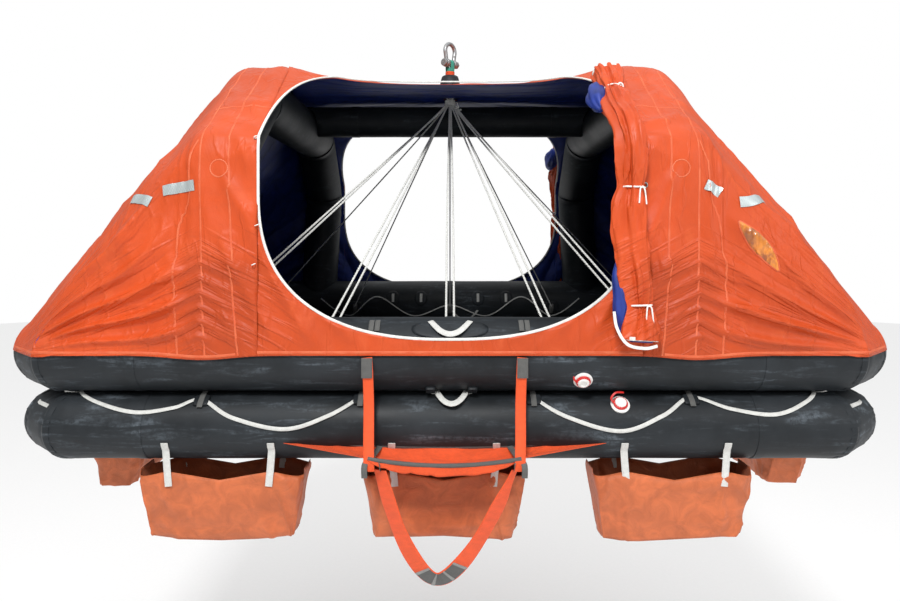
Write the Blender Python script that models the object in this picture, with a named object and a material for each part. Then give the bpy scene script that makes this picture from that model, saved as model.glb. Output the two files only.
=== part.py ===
"""Davit-launched inflatable life raft, hanging from its shackle, as separate named sub-parts.

Metres, +Z up, +X along the raft's length, -Y towards the boarding ramp.
The origin is the inside of the shackle's crown, where the davit's hook bears.
Heights are worked out above the underside of the lower buoyancy tube, then dropped by HOOK_HEIGHT.
"""

import math

import bmesh
import bpy
from mathutils import Matrix, Vector

# Driving dimensions
HOOK_HEIGHT = 2.174
FABRIC_GAP = 0.0008
CANOPY_WALL = 0.005

# Buoyancy tubes: the axis is a rectangle with two mitres at each corner
UPPER_HALF_X = 1.79
LOWER_HALF_X = 1.76
TUBE_HALF_Y = 1.34
TUBE_MITRE = 0.10
LOWER_RADIUS = 0.1475
UPPER_RADIUS = 0.1620
LOWER_AXIS = LOWER_RADIUS
UPPER_AXIS = 2 * LOWER_RADIUS + UPPER_RADIUS + FABRIC_GAP
TUBE_SIDES = 24

# Floor, inside the lower tube's ring
FLOOR_LOW = 0.085
FLOOR_HIGH = 0.145
FLOOR_EDGE = 0.020
FLOOR_CUT = 0.030

# Arches and ridge that hold the canopy up; the arches lean in towards the ridge
ARCH_FOOT_X = 1.065
ARCH_TOP_X = 1.000
ARCH_FOOT = UPPER_AXIS + 0.020
ARCH_RADIUS = 0.14
ARCH_ELBOW = 1.32
ARCH_TOP = 1.695
ARCH_TOP_HALF = 0.82
ARCH_LEAN = (ARCH_FOOT_X - ARCH_TOP_X) / (ARCH_TOP - ARCH_FOOT)
ARCH_SIDES = 20
RIDGE_RADIUS = 0.10
RIDGE_Y = 0.24
RIDGE_HEIGHT = ARCH_TOP + ARCH_RADIUS - RIDGE_RADIUS

# Canopy
SKIRT_HEIGHT = 0.475
SKIRT_TOP = 0.66
SKIRT_OUT = 0.171
HEM_DROP = 0.005
ARCH_COVER = ARCH_RADIUS + 0.010
COVER_ANGLES = (0, 25, 50)
ARCH_PANELS = {"near_wall": (0, 2), "near_shoulder": (2, 3), "top": (3, 4), "far_shoulder": (4, 5), "far_wall": (5, 7)}
DOORWAY_X = {-1: 0.81, 1: 0.88}
DOOR_SILL = 0.543
DOOR_MIDDLE = 1.17
DOOR_SILL_POWER = 2.5
ROOF_EDGE_Y = 0.70
ROOF_EDGE_HEIGHT = 1.80
ROOF_EDGE_POWER = 1.9
ROOF_CREST = ARCH_TOP + ARCH_COVER + 0.008
ROOF_FALL = 0.25
NECK_RADIUS = 0.055

# Rolled door covers
ROLL_RADIUS = 0.055
ROLL_GAP = 0.004
ROLL_FOOT = 0.55
ROLL_X = {-1: 0.785, 1: 0.935}
ROLL_LEAN = 0.085

# Water pockets
POCKET_MOUTH = -0.03
POCKET_DEPTH = 0.24
POCKET_HEIGHT = 0.305
POCKET_WALL = 0.010
SIDE_POCKETS = ((-0.985, 0.71), (-0.025, 0.70), (0.960, 0.69))
END_POCKET_Y = 0.44
END_POCKET_WIDTH = 0.70
WEB_WIDTH = 0.035
WEB_THICK = 0.004

# Boarding ramp and its step
RAMP_MIDDLE = -0.022
RAMP_HEIGHT = 0.045
RAMP_THICK = 0.014
RAMP_OUT = 1.63
RAMP_TIP = 0.712
RAMP_LIP = 0.31
RAMP_STRAP_HALF = 0.024
RAMP_STRAP_TOP = 0.50
STEP_Y = -1.60
STEP_HEIGHT = 0.025
STEP_DEPTH = 0.445
STEP_HALF_TOP = 0.274
STEP_MIDDLE = -0.011
STEP_SHIFT = -0.039
STEP_NARROWING = 0.59
STEP_BAND_TOP = 0.012
STEP_BAND = 0.034
STEP_THICK = 0.005

# Lifting gear
GATHER_HEIGHT = 1.81
ROPE_RADIUS = 0.010
ROPE_FOOT_HEIGHT = 0.42
NEAR_LEGS = (-1.29, -0.62, 0.0, 0.52, 1.02)
FAR_LEGS = (-1.44, -0.75, 0.0, 0.80, 1.50)
COLLAR_LOW = 1.905
COLLAR_HIGH = 1.985
BINDING_HIGH = 2.012
PIN_DROP = 0.110
SHACKLE_TURN = math.radians(51)
SHACKLE_BAR = 0.0125
PIN_RADIUS = 0.014
SHACKLE_LEG = 0.034
SHACKLE_BOW = 0.0465
HEAD_FACE = 0.0515
SLING_HALF_WIDTH = 0.015
SLING_EYE = 0.024

# Gas cylinder, valves and towing patches
CYLINDER_HEIGHT = -0.06
CYLINDER_RADIUS = 0.11
CYLINDER_HALF = 0.42
VALVE_RADIUS = 0.036
VALVE_RISE = 0.022
PATCH_HALF_WIDTH = 0.09
PATCH_HALF_HEIGHT = 0.05
PATCH_OUT = LOWER_HALF_X + LOWER_RADIUS + 0.0065
PATCH_BACK = 0.054

UP = Vector((0, 0, 1))


def clear_scene():
    for thing in list(bpy.data.objects):
        bpy.data.objects.remove(thing)


def material(name, colour, roughness, metallic=0.0):
    made = bpy.data.materials.new(name)
    made.use_nodes = True
    shader = made.node_tree.nodes["Principled BSDF"]
    shader.inputs["Base Color"].default_value = (*colour, 1.0)
    shader.inputs["Roughness"].default_value = roughness
    shader.inputs["Metallic"].default_value = metallic
    return made


def drop(point):
    """A point given by its height above the lower tube's underside, in the raft's own frame."""
    return Vector((point[0], point[1], point[2] - HOOK_HEIGHT))


def add(name, mesh_builder, finish, smooth=True, at=(0, 0, 0)):
    """Makes a node from a bmesh and puts its origin at the given point."""
    place = Vector(at)
    bmesh.ops.translate(mesh_builder, verts=mesh_builder.verts, vec=-place)
    bmesh.ops.recalc_face_normals(mesh_builder, faces=mesh_builder.faces)
    mesh = bpy.data.meshes.new(name)
    mesh_builder.to_mesh(mesh)
    mesh_builder.free()
    if smooth:
        mesh.shade_smooth()
        mesh.set_sharp_from_angle(angle=math.radians(35))
    node = bpy.data.objects.new(name, mesh)
    node.location = place
    bpy.context.scene.collection.objects.link(node)
    if finish is not None:
        mesh.materials.append(finish)
    return node


def helper(name, mesh_builder):
    """A cutter, left out of the model."""
    node = add(name, mesh_builder, None, smooth=False)
    node.hide_render = True
    node.display_type = "WIRE"
    return node


def boolean(node, cutter, operation="DIFFERENCE"):
    step = node.modifiers.new(cutter.name, "BOOLEAN")
    step.operation = operation
    step.solver = "EXACT"
    step.object = cutter
    return step


def ring_faces(builder, rings, closed_rings, closed_path):
    """Joins rows of vertices with quads; a closed path joins its last row to its first."""
    count = len(rings)
    steps = count if closed_path else count - 1
    for i in range(steps):
        first = rings[i]
        second = rings[(i + 1) % count]
        width = len(first)
        spans = width if closed_rings else width - 1
        for j in range(spans):
            k = (j + 1) % width
            builder.faces.new((first[j], first[k], second[k], second[j]))


def bar(rings_of_points):
    """A solid through rings of points, closed at both ends."""
    builder = bmesh.new()
    rings = [[builder.verts.new(p) for p in ring] for ring in rings_of_points]
    ring_faces(builder, rings, True, False)
    builder.faces.new(rings[0])
    builder.faces.new(rings[-1])
    return builder


def mitred_tube(path, radius, normal, sides, closed=False):
    """A round tube along a flat path, mitred where it turns, as welded fabric tubes are."""
    builder = bmesh.new()
    normal = Vector(normal).normalized()
    points = [Vector(p) for p in path]
    count = len(points)
    rings = []
    for i, point in enumerate(points):
        ahead = points[(i + 1) % count] - point
        behind = point - points[i - 1]
        if not closed and i == 0:
            behind = ahead
        if not closed and i == count - 1:
            ahead = behind
        ahead = ahead.normalized()
        behind = behind.normalized()
        along = (ahead + behind).normalized()
        across = normal.cross(along).normalized()
        stretch = 1.0 / along.dot(ahead)
        ring = []
        for j in range(sides):
            angle = 2 * math.pi * (j + 0.5) / sides
            offset = normal * math.cos(angle) + across * math.sin(angle) * stretch
            ring.append(builder.verts.new(point + offset * radius))
        rings.append(ring)
    ring_faces(builder, rings, True, closed)
    if not closed:
        builder.faces.new(rings[0])
        builder.faces.new(list(reversed(rings[-1])))
    bmesh.ops.recalc_face_normals(builder, faces=builder.faces)
    return builder


def box(low, high):
    builder = bmesh.new()
    bmesh.ops.create_cube(builder, size=1.0)
    size = Vector(high) - Vector(low)
    bmesh.ops.scale(builder, verts=builder.verts, vec=size)
    bmesh.ops.translate(builder, verts=builder.verts, vec=(Vector(high) + Vector(low)) / 2)
    return builder


def cone(low, high, low_radius, high_radius, sides):
    """A round bar or cone between two points."""
    low = Vector(low)
    high = Vector(high)
    axis = high - low
    builder = bmesh.new()
    bmesh.ops.create_cone(
        builder, cap_ends=True, segments=sides, radius1=low_radius, radius2=high_radius, depth=axis.length
    )
    turn = UP.rotation_difference(axis.normalized()).to_matrix().to_4x4()
    bmesh.ops.transform(builder, matrix=Matrix.Translation((low + high) / 2) @ turn, verts=builder.verts)
    return builder


# Cloth panels, which are cut from one surface so that their edges meet
def inner_rows(rows, inside):
    """The same rows moved in by the cloth's thickness, towards the raft's own side."""
    builder = bmesh.new()
    grid = [[builder.verts.new(p) for p in row] for row in rows]
    ring_faces(builder, grid, False, False)
    builder.normal_update()
    votes = sum((f.calc_center_median() - inside).dot(f.normal) * f.calc_area() for f in builder.faces)
    sign = 1 if votes > 0 else -1
    moved = [[v.co - v.normal * sign * CANOPY_WALL * v.calc_shell_factor() for v in row] for row in grid]
    builder.free()
    return moved


def apart(line):
    """A row of points whose two ends are drawn in, so that neighbouring panels don't touch."""
    first = line[0] + (line[1] - line[0]).normalized() * FABRIC_GAP / 2
    last = line[-1] + (line[-2] - line[-1]).normalized() * FABRIC_GAP / 2
    return [first, *line[1:-1], last]


def across_rows(block):
    return [list(column) for column in zip(*block)]


def panel(outer, inner, rows, columns):
    """The part of a surface between two rows and two columns, as a closed solid."""
    builder = bmesh.new()
    edges = []
    for surface in (outer, inner):
        block = [apart(row[columns[0]:columns[1] + 1]) for row in surface[rows[0]:rows[1] + 1]]
        block = across_rows([apart(column) for column in across_rows(block)])
        grid = [[builder.verts.new(p) for p in row] for row in block]
        ring_faces(builder, grid, False, False)
        edges.append((grid[0], grid[-1], [row[0] for row in grid], [row[-1] for row in grid]))
    # Triangles along the rim, because a twisted four-sided face could cross the next panel's
    for above, below in zip(*edges):
        for i in range(len(above) - 1):
            builder.faces.new((above[i], above[i + 1], below[i + 1]))
            builder.faces.new((above[i], below[i + 1], below[i]))
    return builder


# Buoyancy tubes and floor
def tube_outline(half_x, height, grow=0.0, cut=None):
    """The mitred rectangle that the tubes follow."""
    x = half_x + grow
    y = TUBE_HALF_Y + grow
    if cut is None:
        cut = TUBE_MITRE + grow * (2 - math.sqrt(2))
    corners = ((x - cut, y), (x, y - cut), (x, -y + cut), (x - cut, -y),
               (-x + cut, -y), (-x, -y + cut), (-x, y - cut), (-x + cut, y))
    return [drop((cx, cy, height)) for cx, cy in corners]


def build_tubes(rubber):
    upper = mitred_tube(tube_outline(UPPER_HALF_X, UPPER_AXIS), UPPER_RADIUS, UP, TUBE_SIDES, closed=True)
    lower = mitred_tube(tube_outline(LOWER_HALF_X, LOWER_AXIS), LOWER_RADIUS, UP, TUBE_SIDES, closed=True)
    add("upper_tube", upper, rubber)
    add("lower_tube", lower, rubber)


def build_floor(rubber):
    """The double-skinned floor, quilted in scene.py, that closes the lower tube's ring."""
    inset = -LOWER_RADIUS - 0.002
    levels = ((FLOOR_LOW, FLOOR_EDGE), (FLOOR_LOW + FLOOR_EDGE, 0), (FLOOR_HIGH - FLOOR_EDGE, 0), (FLOOR_HIGH, FLOOR_EDGE))
    rings = [tube_outline(LOWER_HALF_X, height, inset - edge, FLOOR_CUT) for height, edge in levels]
    add("floor", bar(rings), rubber)


# Arches and ridge
def arch_x(height):
    return ARCH_FOOT_X - ARCH_LEAN * (height - ARCH_FOOT)


def arch_path(side):
    half = TUBE_HALF_Y
    path = ((half, ARCH_FOOT), (half, ARCH_ELBOW), (ARCH_TOP_HALF, ARCH_TOP),
            (-ARCH_TOP_HALF, ARCH_TOP), (-half, ARCH_ELBOW), (-half, ARCH_FOOT))
    return [drop((side * arch_x(h), y, h)) for y, h in path]


def arch_tube(side, radius):
    return mitred_tube(arch_path(side), radius, (1, 0, side * ARCH_LEAN), ARCH_SIDES)


def build_arches(rubber):
    saddle = helper("saddle_cutter", mitred_tube(
        tube_outline(UPPER_HALF_X, UPPER_AXIS), UPPER_RADIUS + FABRIC_GAP, UP, TUBE_SIDES, closed=True))
    ridge_end = ARCH_TOP_X - ARCH_RADIUS / 2
    ridge = mitred_tube(
        [drop((x, RIDGE_Y, RIDGE_HEIGHT)) for x in (-ridge_end, ridge_end)], RIDGE_RADIUS, UP, ARCH_SIDES)
    ridge_node = add("ridge_tube", ridge, rubber)
    for side, name in ((-1, "arch_left"), (1, "arch_right")):
        node = add(name, arch_tube(side, ARCH_RADIUS), rubber)
        boolean(node, saddle)
        boolean(ridge_node, helper(name + "_cutter", arch_tube(side, ARCH_RADIUS + FABRIC_GAP)))


# Canopy
def arch_profile(cover):
    """Half of the canopy's outline over an arch, from skirt to top, as (distance from centre, height)."""
    shoulder = math.atan2(TUBE_HALF_Y - ARCH_TOP_HALF, ARCH_TOP - ARCH_ELBOW)
    elbow = ARCH_ELBOW + cover * math.tan(shoulder / 2)
    top_y = ARCH_TOP_HALF + cover * math.tan((math.pi / 2 - shoulder) / 2)
    return ((TUBE_HALF_Y + SKIRT_OUT, SKIRT_HEIGHT), (TUBE_HALF_Y + ARCH_COVER, SKIRT_TOP),
            (TUBE_HALF_Y + cover, elbow), (top_y, ARCH_TOP + cover))


def doorway_section():
    """The line where a canopy's end stops at the doorways and at the roof."""
    half = arch_profile(ARCH_COVER)
    near = [drop((DOORWAY_X[-1], -y, h)) for y, h in half]
    far = [drop((DOORWAY_X[1], y, h)) for y, h in reversed(half)]
    return near + far


def arch_section(out, cover):
    """A line over the right-hand arch: out is how far it stands to the arch's outer side."""
    half = []
    for y, height in arch_profile(cover):
        lift = out * ARCH_LEAN if height > SKIRT_TOP else 0.0
        half.append((arch_x(height) + out, y, height + lift))
    near = [drop((x, -y, h)) for x, y, h in half]
    far = [drop((x, y, h)) for x, y, h in reversed(half)]
    return near + far


def end_line(grows, heights, shifts):
    """A line round the raft's end over the upper tube, matched point for point to an arch section."""
    half = []
    for grow, height, shift in zip(grows, heights, shifts):
        cut = TUBE_MITRE + grow * (2 - math.sqrt(2))
        half.append((UPPER_HALF_X + grow - cut - shift, TUBE_HALF_Y + grow, height))
    cut = TUBE_MITRE + grows[-1] * (2 - math.sqrt(2))
    half[-1] = (UPPER_HALF_X + grows[-1], TUBE_HALF_Y + grows[-1] - cut, heights[-1])
    near = [drop((x, -y, h)) for x, y, h in half]
    far = [drop((x, y, h)) for x, y, h in reversed(half)]
    return near + far


def canopy_end_rows():
    """Rows for the right-hand end, from the doorways' side out to the hem at the raft's end."""
    rows = [doorway_section()]
    for degrees in COVER_ANGLES:
        angle = math.radians(degrees)
        rows.append(arch_section(ARCH_COVER * math.sin(angle), ARCH_COVER * math.cos(angle)))
    rows.append(end_line((SKIRT_OUT, 0.150, 0.147, 0.147), (SKIRT_HEIGHT, 0.55, 0.56, 0.56), (0.08, 0.03, 0, 0)))
    rows.append(end_line((SKIRT_OUT,) * 4, (SKIRT_HEIGHT - HEM_DROP,) * 4, (0.05, 0.03, 0, 0)))
    return rows


def mirrored(rows):
    return [[Vector((-p.x, p.y, p.z)) for p in row] for row in rows]


def door_sill(x, half):
    """Height of a doorway's lower edge at a distance from its middle."""
    share = min(abs(x) / half, 1.0)
    depth = (1 - share ** DOOR_SILL_POWER) ** (1 / DOOR_SILL_POWER)
    return DOOR_MIDDLE - (DOOR_MIDDLE - DOOR_SILL) * depth


def wall_y(height):
    """Distance from the centre plane to the canopy's side wall at a height."""
    skirt, top, _, _ = arch_profile(ARCH_COVER)
    if height >= top[1]:
        return top[0]
    share = (height - skirt[1]) / (top[1] - skirt[1])
    return skirt[0] + (top[0] - skirt[0]) * share


def round_spread(count, reach):
    """Numbers from -reach to reach, closer together towards both ends."""
    return [reach * math.sin(math.radians(-90 + 180 * i / count)) for i in range(count + 1)]


def sill_rows(side):
    """The panel below a doorway: a crescent between the skirt and the doorway's edge."""
    rows = []
    half = DOORWAY_X[side]
    for x in round_spread(20, half - 2 * FABRIC_GAP):
        top = door_sill(x, half)
        heights = [SKIRT_HEIGHT + (top - SKIRT_HEIGHT) * k / 4 for k in range(5)]
        rows.append([drop((x, side * wall_y(h), h)) for h in heights])
    return rows


def doorway_x(y):
    """Half the distance between the canopy's two ends at a place across the roof."""
    top_y = arch_profile(ARCH_COVER)[3][0]
    share = max(-1.0, min(1.0, y / top_y))
    return (DOORWAY_X[-1] + DOORWAY_X[1]) / 2 + (DOORWAY_X[1] - DOORWAY_X[-1]) / 2 * share


def roof_edge(share):
    """Distance from the centre plane to the roof's edge, from the doorway's middle (0) to its side (1)."""
    elbow_y = arch_profile(ARCH_COVER)[2][0] - 0.05
    bow = (1 - abs(share) ** ROOF_EDGE_POWER) ** (1 / ROOF_EDGE_POWER)
    return elbow_y - (elbow_y - ROOF_EDGE_Y) * bow


def over_arch(y):
    """Height of the canopy over an arch."""
    _, _, elbow, top = arch_profile(ARCH_COVER)
    if y <= top[0]:
        return top[1]
    return elbow[1] + (top[1] - elbow[1]) * (elbow[0] - y) / (elbow[0] - top[0])


def roof_height(share, y):
    """The roof falls from its crest over the ridge to the doorways, and meets the arches' covers at its sides."""
    reach = ROOF_EDGE_Y - math.copysign(RIDGE_Y, y - RIDGE_Y)
    middle = ROOF_CREST - (ROOF_CREST - ROOF_EDGE_HEIGHT) * min(1.0, abs(y - RIDGE_Y) / reach)
    middle -= ROOF_FALL * max(0.0, abs(y) - ROOF_EDGE_Y)
    blend = abs(share) ** 3
    return middle * (1 - blend) + over_arch(abs(y)) * blend


def roof_rows():
    rows = []
    steps = 12
    for share in round_spread(18, 1.0):
        reach = roof_edge(share)
        row = []
        for k in range(steps + 1):
            y = reach * (2 * k / steps - 1)
            x = share * (doorway_x(y) - 2 * FABRIC_GAP)
            row.append(drop((x, y, roof_height(share, y))))
        rows.append(row)
    return rows


def build_canopy(cloth):
    inside = drop((0, 0, 1.0))
    right = canopy_end_rows()
    right_inner = inner_rows(right, drop((UPPER_HALF_X / 2, 0, 1.0)))
    sheets = ((right, right_inner, "right"), (mirrored(right), mirrored(right_inner), "left"))
    last = len(right) - 1
    arch_side = len(COVER_ANGLES)
    for outer, inner, word in sheets:
        for name, columns in ARCH_PANELS.items():
            add(f"canopy_{word}_{name}", panel(outer, inner, (0, arch_side), columns), cloth)
        add(f"canopy_{word}_near", panel(outer, inner, (arch_side, last), (0, 3)), cloth)
        add(f"canopy_{word}_end", panel(outer, inner, (arch_side, last), (3, 4)), cloth)
        add(f"canopy_{word}_far", panel(outer, inner, (arch_side, last), (4, 7)), cloth)
    for side, name in ((-1, "canopy_near"), (1, "canopy_far")):
        rows = sill_rows(side)
        add(name, panel(rows, inner_rows(rows, inside), (0, len(rows) - 1), (0, 4)), cloth)
    rows = roof_rows()
    below = inner_rows(rows, inside)
    whole = (0, len(rows) - 1)
    add("canopy_roof_near", panel(rows, below, whole, (0, 4)), cloth)
    middle = add("canopy_roof", panel(rows, below, whole, (4, 8)), cloth)
    add("canopy_roof_far", panel(rows, below, whole, (8, 12)), cloth)
    neck = cone(drop((0, 0, 1.5)), drop((0, 0, 2.1)), NECK_RADIUS, NECK_RADIUS, 16)
    boolean(middle, helper("neck_cutter", neck))


def build_door_rolls(cloth):
    """Each doorway's cover, rolled up and tied against its right-hand edge."""
    half = arch_profile(ARCH_COVER + ROLL_RADIUS + ROLL_GAP)
    elbow = half[2]
    top = half[3]
    shoulder = (elbow[0] + (top[0] - elbow[0]) * 0.65, elbow[1] + (top[1] - elbow[1]) * 0.65 + 0.035)
    outline = ((half[0][0] + ROLL_RADIUS + ROLL_GAP, ROLL_FOOT), (elbow[0], SKIRT_TOP + 0.10), elbow, shoulder)
    rise = shoulder[1] - ROLL_FOOT
    for side, name in ((-1, "door_roll_near"), (1, "door_roll_far")):
        path = []
        for y, height in outline:
            x = ROLL_X[side] - ROLL_LEAN * (height - ROLL_FOOT) / rise
            path.append(drop((x, side * y, height)))
        add(name, mitred_tube(path, ROLL_RADIUS, (rise, 0, ROLL_LEAN), 12), cloth)


# Water pockets under the raft
def pocket(width):
    """A fabric bag, open at its mouth, its long side along X, hung on webbing straps."""
    half = width / 2
    wall = POCKET_WALL
    outline = ((half, POCKET_DEPTH / 2, 0.0), (half * 0.86, POCKET_DEPTH * 0.34, -POCKET_HEIGHT))
    builder = bmesh.new()
    outer = []
    inner = []
    for x, y, z in outline:
        outer.append([builder.verts.new(p) for p in ((x, y, z), (-x, y, z), (-x, -y, z), (x, -y, z))])
        lift = wall if z < 0 else 0.0
        ring = ((x - wall, y - wall, z + lift), (wall - x, y - wall, z + lift),
                (wall - x, wall - y, z + lift), (x - wall, wall - y, z + lift))
        inner.append([builder.verts.new(p) for p in ring])
    ring_faces(builder, outer, True, False)
    ring_faces(builder, inner, True, False)
    ring_faces(builder, [outer[0], inner[0]], True, False)
    builder.faces.new(outer[-1])
    builder.faces.new(inner[-1])
    return builder


def pocket_straps(width):
    """Four webbing straps that join a pocket's rim to the tube above it."""
    builder = bmesh.new()
    for x in (-0.30 * width, 0.30 * width):
        for side in (-1, 1):
            rim = side * (POCKET_DEPTH / 2 - WEB_THICK / 2)
            low = Vector((x - WEB_WIDTH / 2, rim - WEB_THICK, -0.05))
            high = Vector((x + WEB_WIDTH / 2, rim + WEB_THICK, 0.078))
            made = bmesh.ops.create_cube(builder, size=1.0)["verts"]
            bmesh.ops.scale(builder, verts=made, vec=high - low)
            bmesh.ops.translate(builder, verts=made, vec=(high + low) / 2)
    return builder


def build_pockets(bag):
    places = []
    for side, word in ((-1, "near"), (1, "far")):
        for number, (x, width) in enumerate(SIDE_POCKETS, 1):
            places.append((f"pocket_{word}_{number}", (x, side * TUBE_HALF_Y), width, 0))
    for side, word in ((-1, "left"), (1, "right")):
        for number, y in enumerate((-END_POCKET_Y, END_POCKET_Y), 1):
            places.append((f"pocket_{word}_{number}", (side * LOWER_HALF_X, y), END_POCKET_WIDTH, 90))
    for name, (x, y), width, turn in places:
        builder = pocket(width)
        at = Matrix.Translation(drop((x, y, POCKET_MOUTH))) @ Matrix.Rotation(math.radians(turn), 4, "Z")
        bmesh.ops.transform(builder, matrix=at, verts=builder.verts)
        node = add(name, builder, bag, smooth=False)
        straps = pocket_straps(width)
        bmesh.ops.transform(straps, matrix=at, verts=straps.verts)
        boolean(node, helper(name + "_straps", straps), "UNION")


def build_ramp(cloth, webbing):
    """The apron that a boarder climbs over, and the two straps that hold its outer edge up."""
    inner_y = TUBE_HALF_Y + 0.124
    outline = ((-RAMP_TIP, -inner_y), (-RAMP_LIP, -RAMP_OUT), (RAMP_LIP, -RAMP_OUT), (RAMP_TIP, -inner_y))
    levels = (RAMP_HEIGHT, RAMP_HEIGHT + RAMP_THICK)
    add("boarding_ramp", bar([[drop((RAMP_MIDDLE + x, y, h)) for x, y in outline] for h in levels]), cloth, smooth=False)
    half = RAMP_STRAP_HALF
    skin = Vector((0, -WEB_THICK, 0))
    for side, name in ((-1, "ramp_strap_left"), (1, "ramp_strap_right")):
        x = RAMP_MIDDLE + side * (RAMP_LIP + 0.015)
        top = drop((x, -TUBE_HALF_Y - SKIRT_OUT - 0.006, RAMP_STRAP_TOP))
        foot = drop((x - side * 0.02, -RAMP_OUT + 0.02, RAMP_HEIGHT + RAMP_THICK + 0.001))
        rings = []
        for point in (top, foot):
            left = point - Vector((half, 0, 0))
            right = point + Vector((half, 0, 0))
            rings.append([left, right, right + skin, left + skin])
        add(name, bar(rings), webbing, smooth=False)


def build_step(webbing):
    """The hanging stirrup: a narrowing loop of webbing that swings about a line through its two upper ends.
    It is slim at its ends, so that it clears the ramp as it swings out."""
    points = []
    spans = 20
    for i in range(spans + 1):
        angle = math.pi * i / spans
        depth = math.sin(angle) ** 0.62
        reach = STEP_HALF_TOP * math.cos(angle) * (1 - STEP_NARROWING * depth)
        points.append(Vector((STEP_MIDDLE + STEP_SHIFT * depth - reach, 0, -STEP_DEPTH * depth)))
    rings = []
    wide = Vector((0, 1, 0))
    for i, point in enumerate(points):
        along = (points[min(i + 1, spans)] - points[max(i - 1, 0)]).normalized()
        across = wide.cross(along).normalized()
        half = STEP_BAND_TOP + (STEP_BAND - STEP_BAND_TOP) * min(1.0, -point.z / 0.10)
        corners = ((-1, -1), (1, -1), (1, 1), (-1, 1))
        rings.append([point + wide * half * a + across * STEP_THICK / 2 * b for a, b in corners])
    at = drop((0, STEP_Y, STEP_HEIGHT))
    add("step_loop", bar([[at + p for p in ring] for ring in rings]), webbing, smooth=False, at=at)


# Lifting bridle and its collar
def build_bridle(rope, rubber, binding):
    foot_y = TUBE_HALF_Y - UPPER_RADIUS - ROPE_RADIUS - 0.004
    neck = cone(drop((0, 0, GATHER_HEIGHT - 0.03)), drop((0, 0, COLLAR_LOW - 0.005)), 0.035, 0.035, 16)
    node = add("bridle", neck, rope)
    for side, word, feet in ((-1, "near", NEAR_LEGS), (1, "far", FAR_LEGS)):
        for number, x in enumerate(feet, 1):
            high = drop((x * 0.01, side * 0.012, GATHER_HEIGHT + 0.02))
            low = drop((x, side * foot_y, ROPE_FOOT_HEIGHT))
            leg = cone(low, high, ROPE_RADIUS, ROPE_RADIUS, 8)
            boolean(node, helper(f"leg_{word}_{number}", leg), "UNION")
    collar = cone(drop((0, 0, COLLAR_LOW)), drop((0, 0, COLLAR_HIGH)), 0.066, 0.048, 20)
    add("bridle_collar", collar, rubber)
    wrap = cone(drop((0, 0, COLLAR_HIGH + 0.0005)), drop((0, 0, BINDING_HIGH)), 0.030, 0.028, 20)
    add("sling_binding", wrap, binding)


def build_shackle(steel, sling):
    """A bow shackle that points up, its pin through the eye of the raft's sling."""
    along = Vector((math.cos(SHACKLE_TURN), math.sin(SHACKLE_TURN), 0))
    side_on = Vector((-along.y, along.x, 0))
    centre = Vector((0, 0, -PIN_DROP))

    # The bow is three quarters of a circle on two short legs
    path = [(-SHACKLE_LEG, -PIN_DROP), (-SHACKLE_LEG - 0.003, -PIN_DROP + 0.022)]
    bow_z = SHACKLE_BAR - SHACKLE_BOW
    for degrees in range(200, -21, -20):
        angle = math.radians(degrees)
        path.append((SHACKLE_BOW * math.cos(angle), bow_z + SHACKLE_BOW * math.sin(angle)))
    path += [(SHACKLE_LEG + 0.003, -PIN_DROP + 0.022), (SHACKLE_LEG, -PIN_DROP)]
    points = [along * a + Vector((0, 0, z)) for a, z in path]
    bow = add("shackle_bow", mitred_tube(points, SHACKLE_BAR, side_on, 16), steel, at=centre)
    for end, word in ((-1, "left"), (1, "right")):
        middle = centre + along * SHACKLE_LEG * end
        ear = cone(middle - along * SHACKLE_BAR, middle + along * SHACKLE_BAR, 0.026, 0.026, 20)
        boolean(bow, helper(f"ear_{word}", ear), "UNION")
    loose = PIN_RADIUS + 0.0006
    hole = cone(centre - along * 0.08, centre + along * 0.08, loose, loose, 20)
    boolean(bow, helper("pin_hole_cutter", hole))

    pin = add("shackle_pin", cone(centre - along * 0.060, centre + along * 0.070, PIN_RADIUS, PIN_RADIUS, 20), steel)
    head = cone(centre - along * 0.064, centre - along * HEAD_FACE, 0.023, 0.023, 24)
    boolean(pin, helper("pin_head", head), "UNION")
    nut = cone(centre + along * HEAD_FACE, centre + along * 0.066, 0.024, 0.024, 6)
    boolean(pin, helper("pin_nut", nut), "UNION")

    # The sling's eye goes round the pin and down into the binding
    half = SLING_HALF_WIDTH
    eye = add("sling_eye", cone(centre - along * half, centre + along * half, SLING_EYE, SLING_EYE, 24), sling)
    stem = box((-half, -0.021, drop((0, 0, BINDING_HIGH + 0.0005)).z), (half, 0.021, -PIN_DROP))
    bmesh.ops.rotate(stem, verts=stem.verts, cent=(0, 0, 0), matrix=Matrix.Rotation(SHACKLE_TURN, 3, "Z"))
    boolean(eye, helper("sling_stem", stem), "UNION")
    loose = PIN_RADIUS + 0.0008
    hole = cone(centre - along * 0.05, centre + along * 0.05, loose, loose, 24)
    boolean(eye, helper("sling_hole_cutter", hole))


def build_gas_cylinder(painted, brass):
    """The cylinder strapped under the floor, with its valve."""
    half = CYLINDER_HALF
    outline = ((-half, 0.05), (-half + 0.02, 0.09), (-half + 0.06, CYLINDER_RADIUS),
               (half - 0.10, CYLINDER_RADIUS), (half - 0.03, 0.07), (half, 0.035))
    rings = []
    for x, radius in outline:
        turns = [2 * math.pi * j / 20 for j in range(20)]
        rings.append([drop((x, radius * math.cos(a), CYLINDER_HEIGHT + radius * math.sin(a))) for a in turns])
    add("gas_cylinder", bar(rings), painted)
    valve = cone(drop((half + 0.0005, 0, CYLINDER_HEIGHT)), drop((half + 0.07, 0, CYLINDER_HEIGHT)), 0.022, 0.018, 12)
    add("cylinder_valve", valve, brass)


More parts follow.
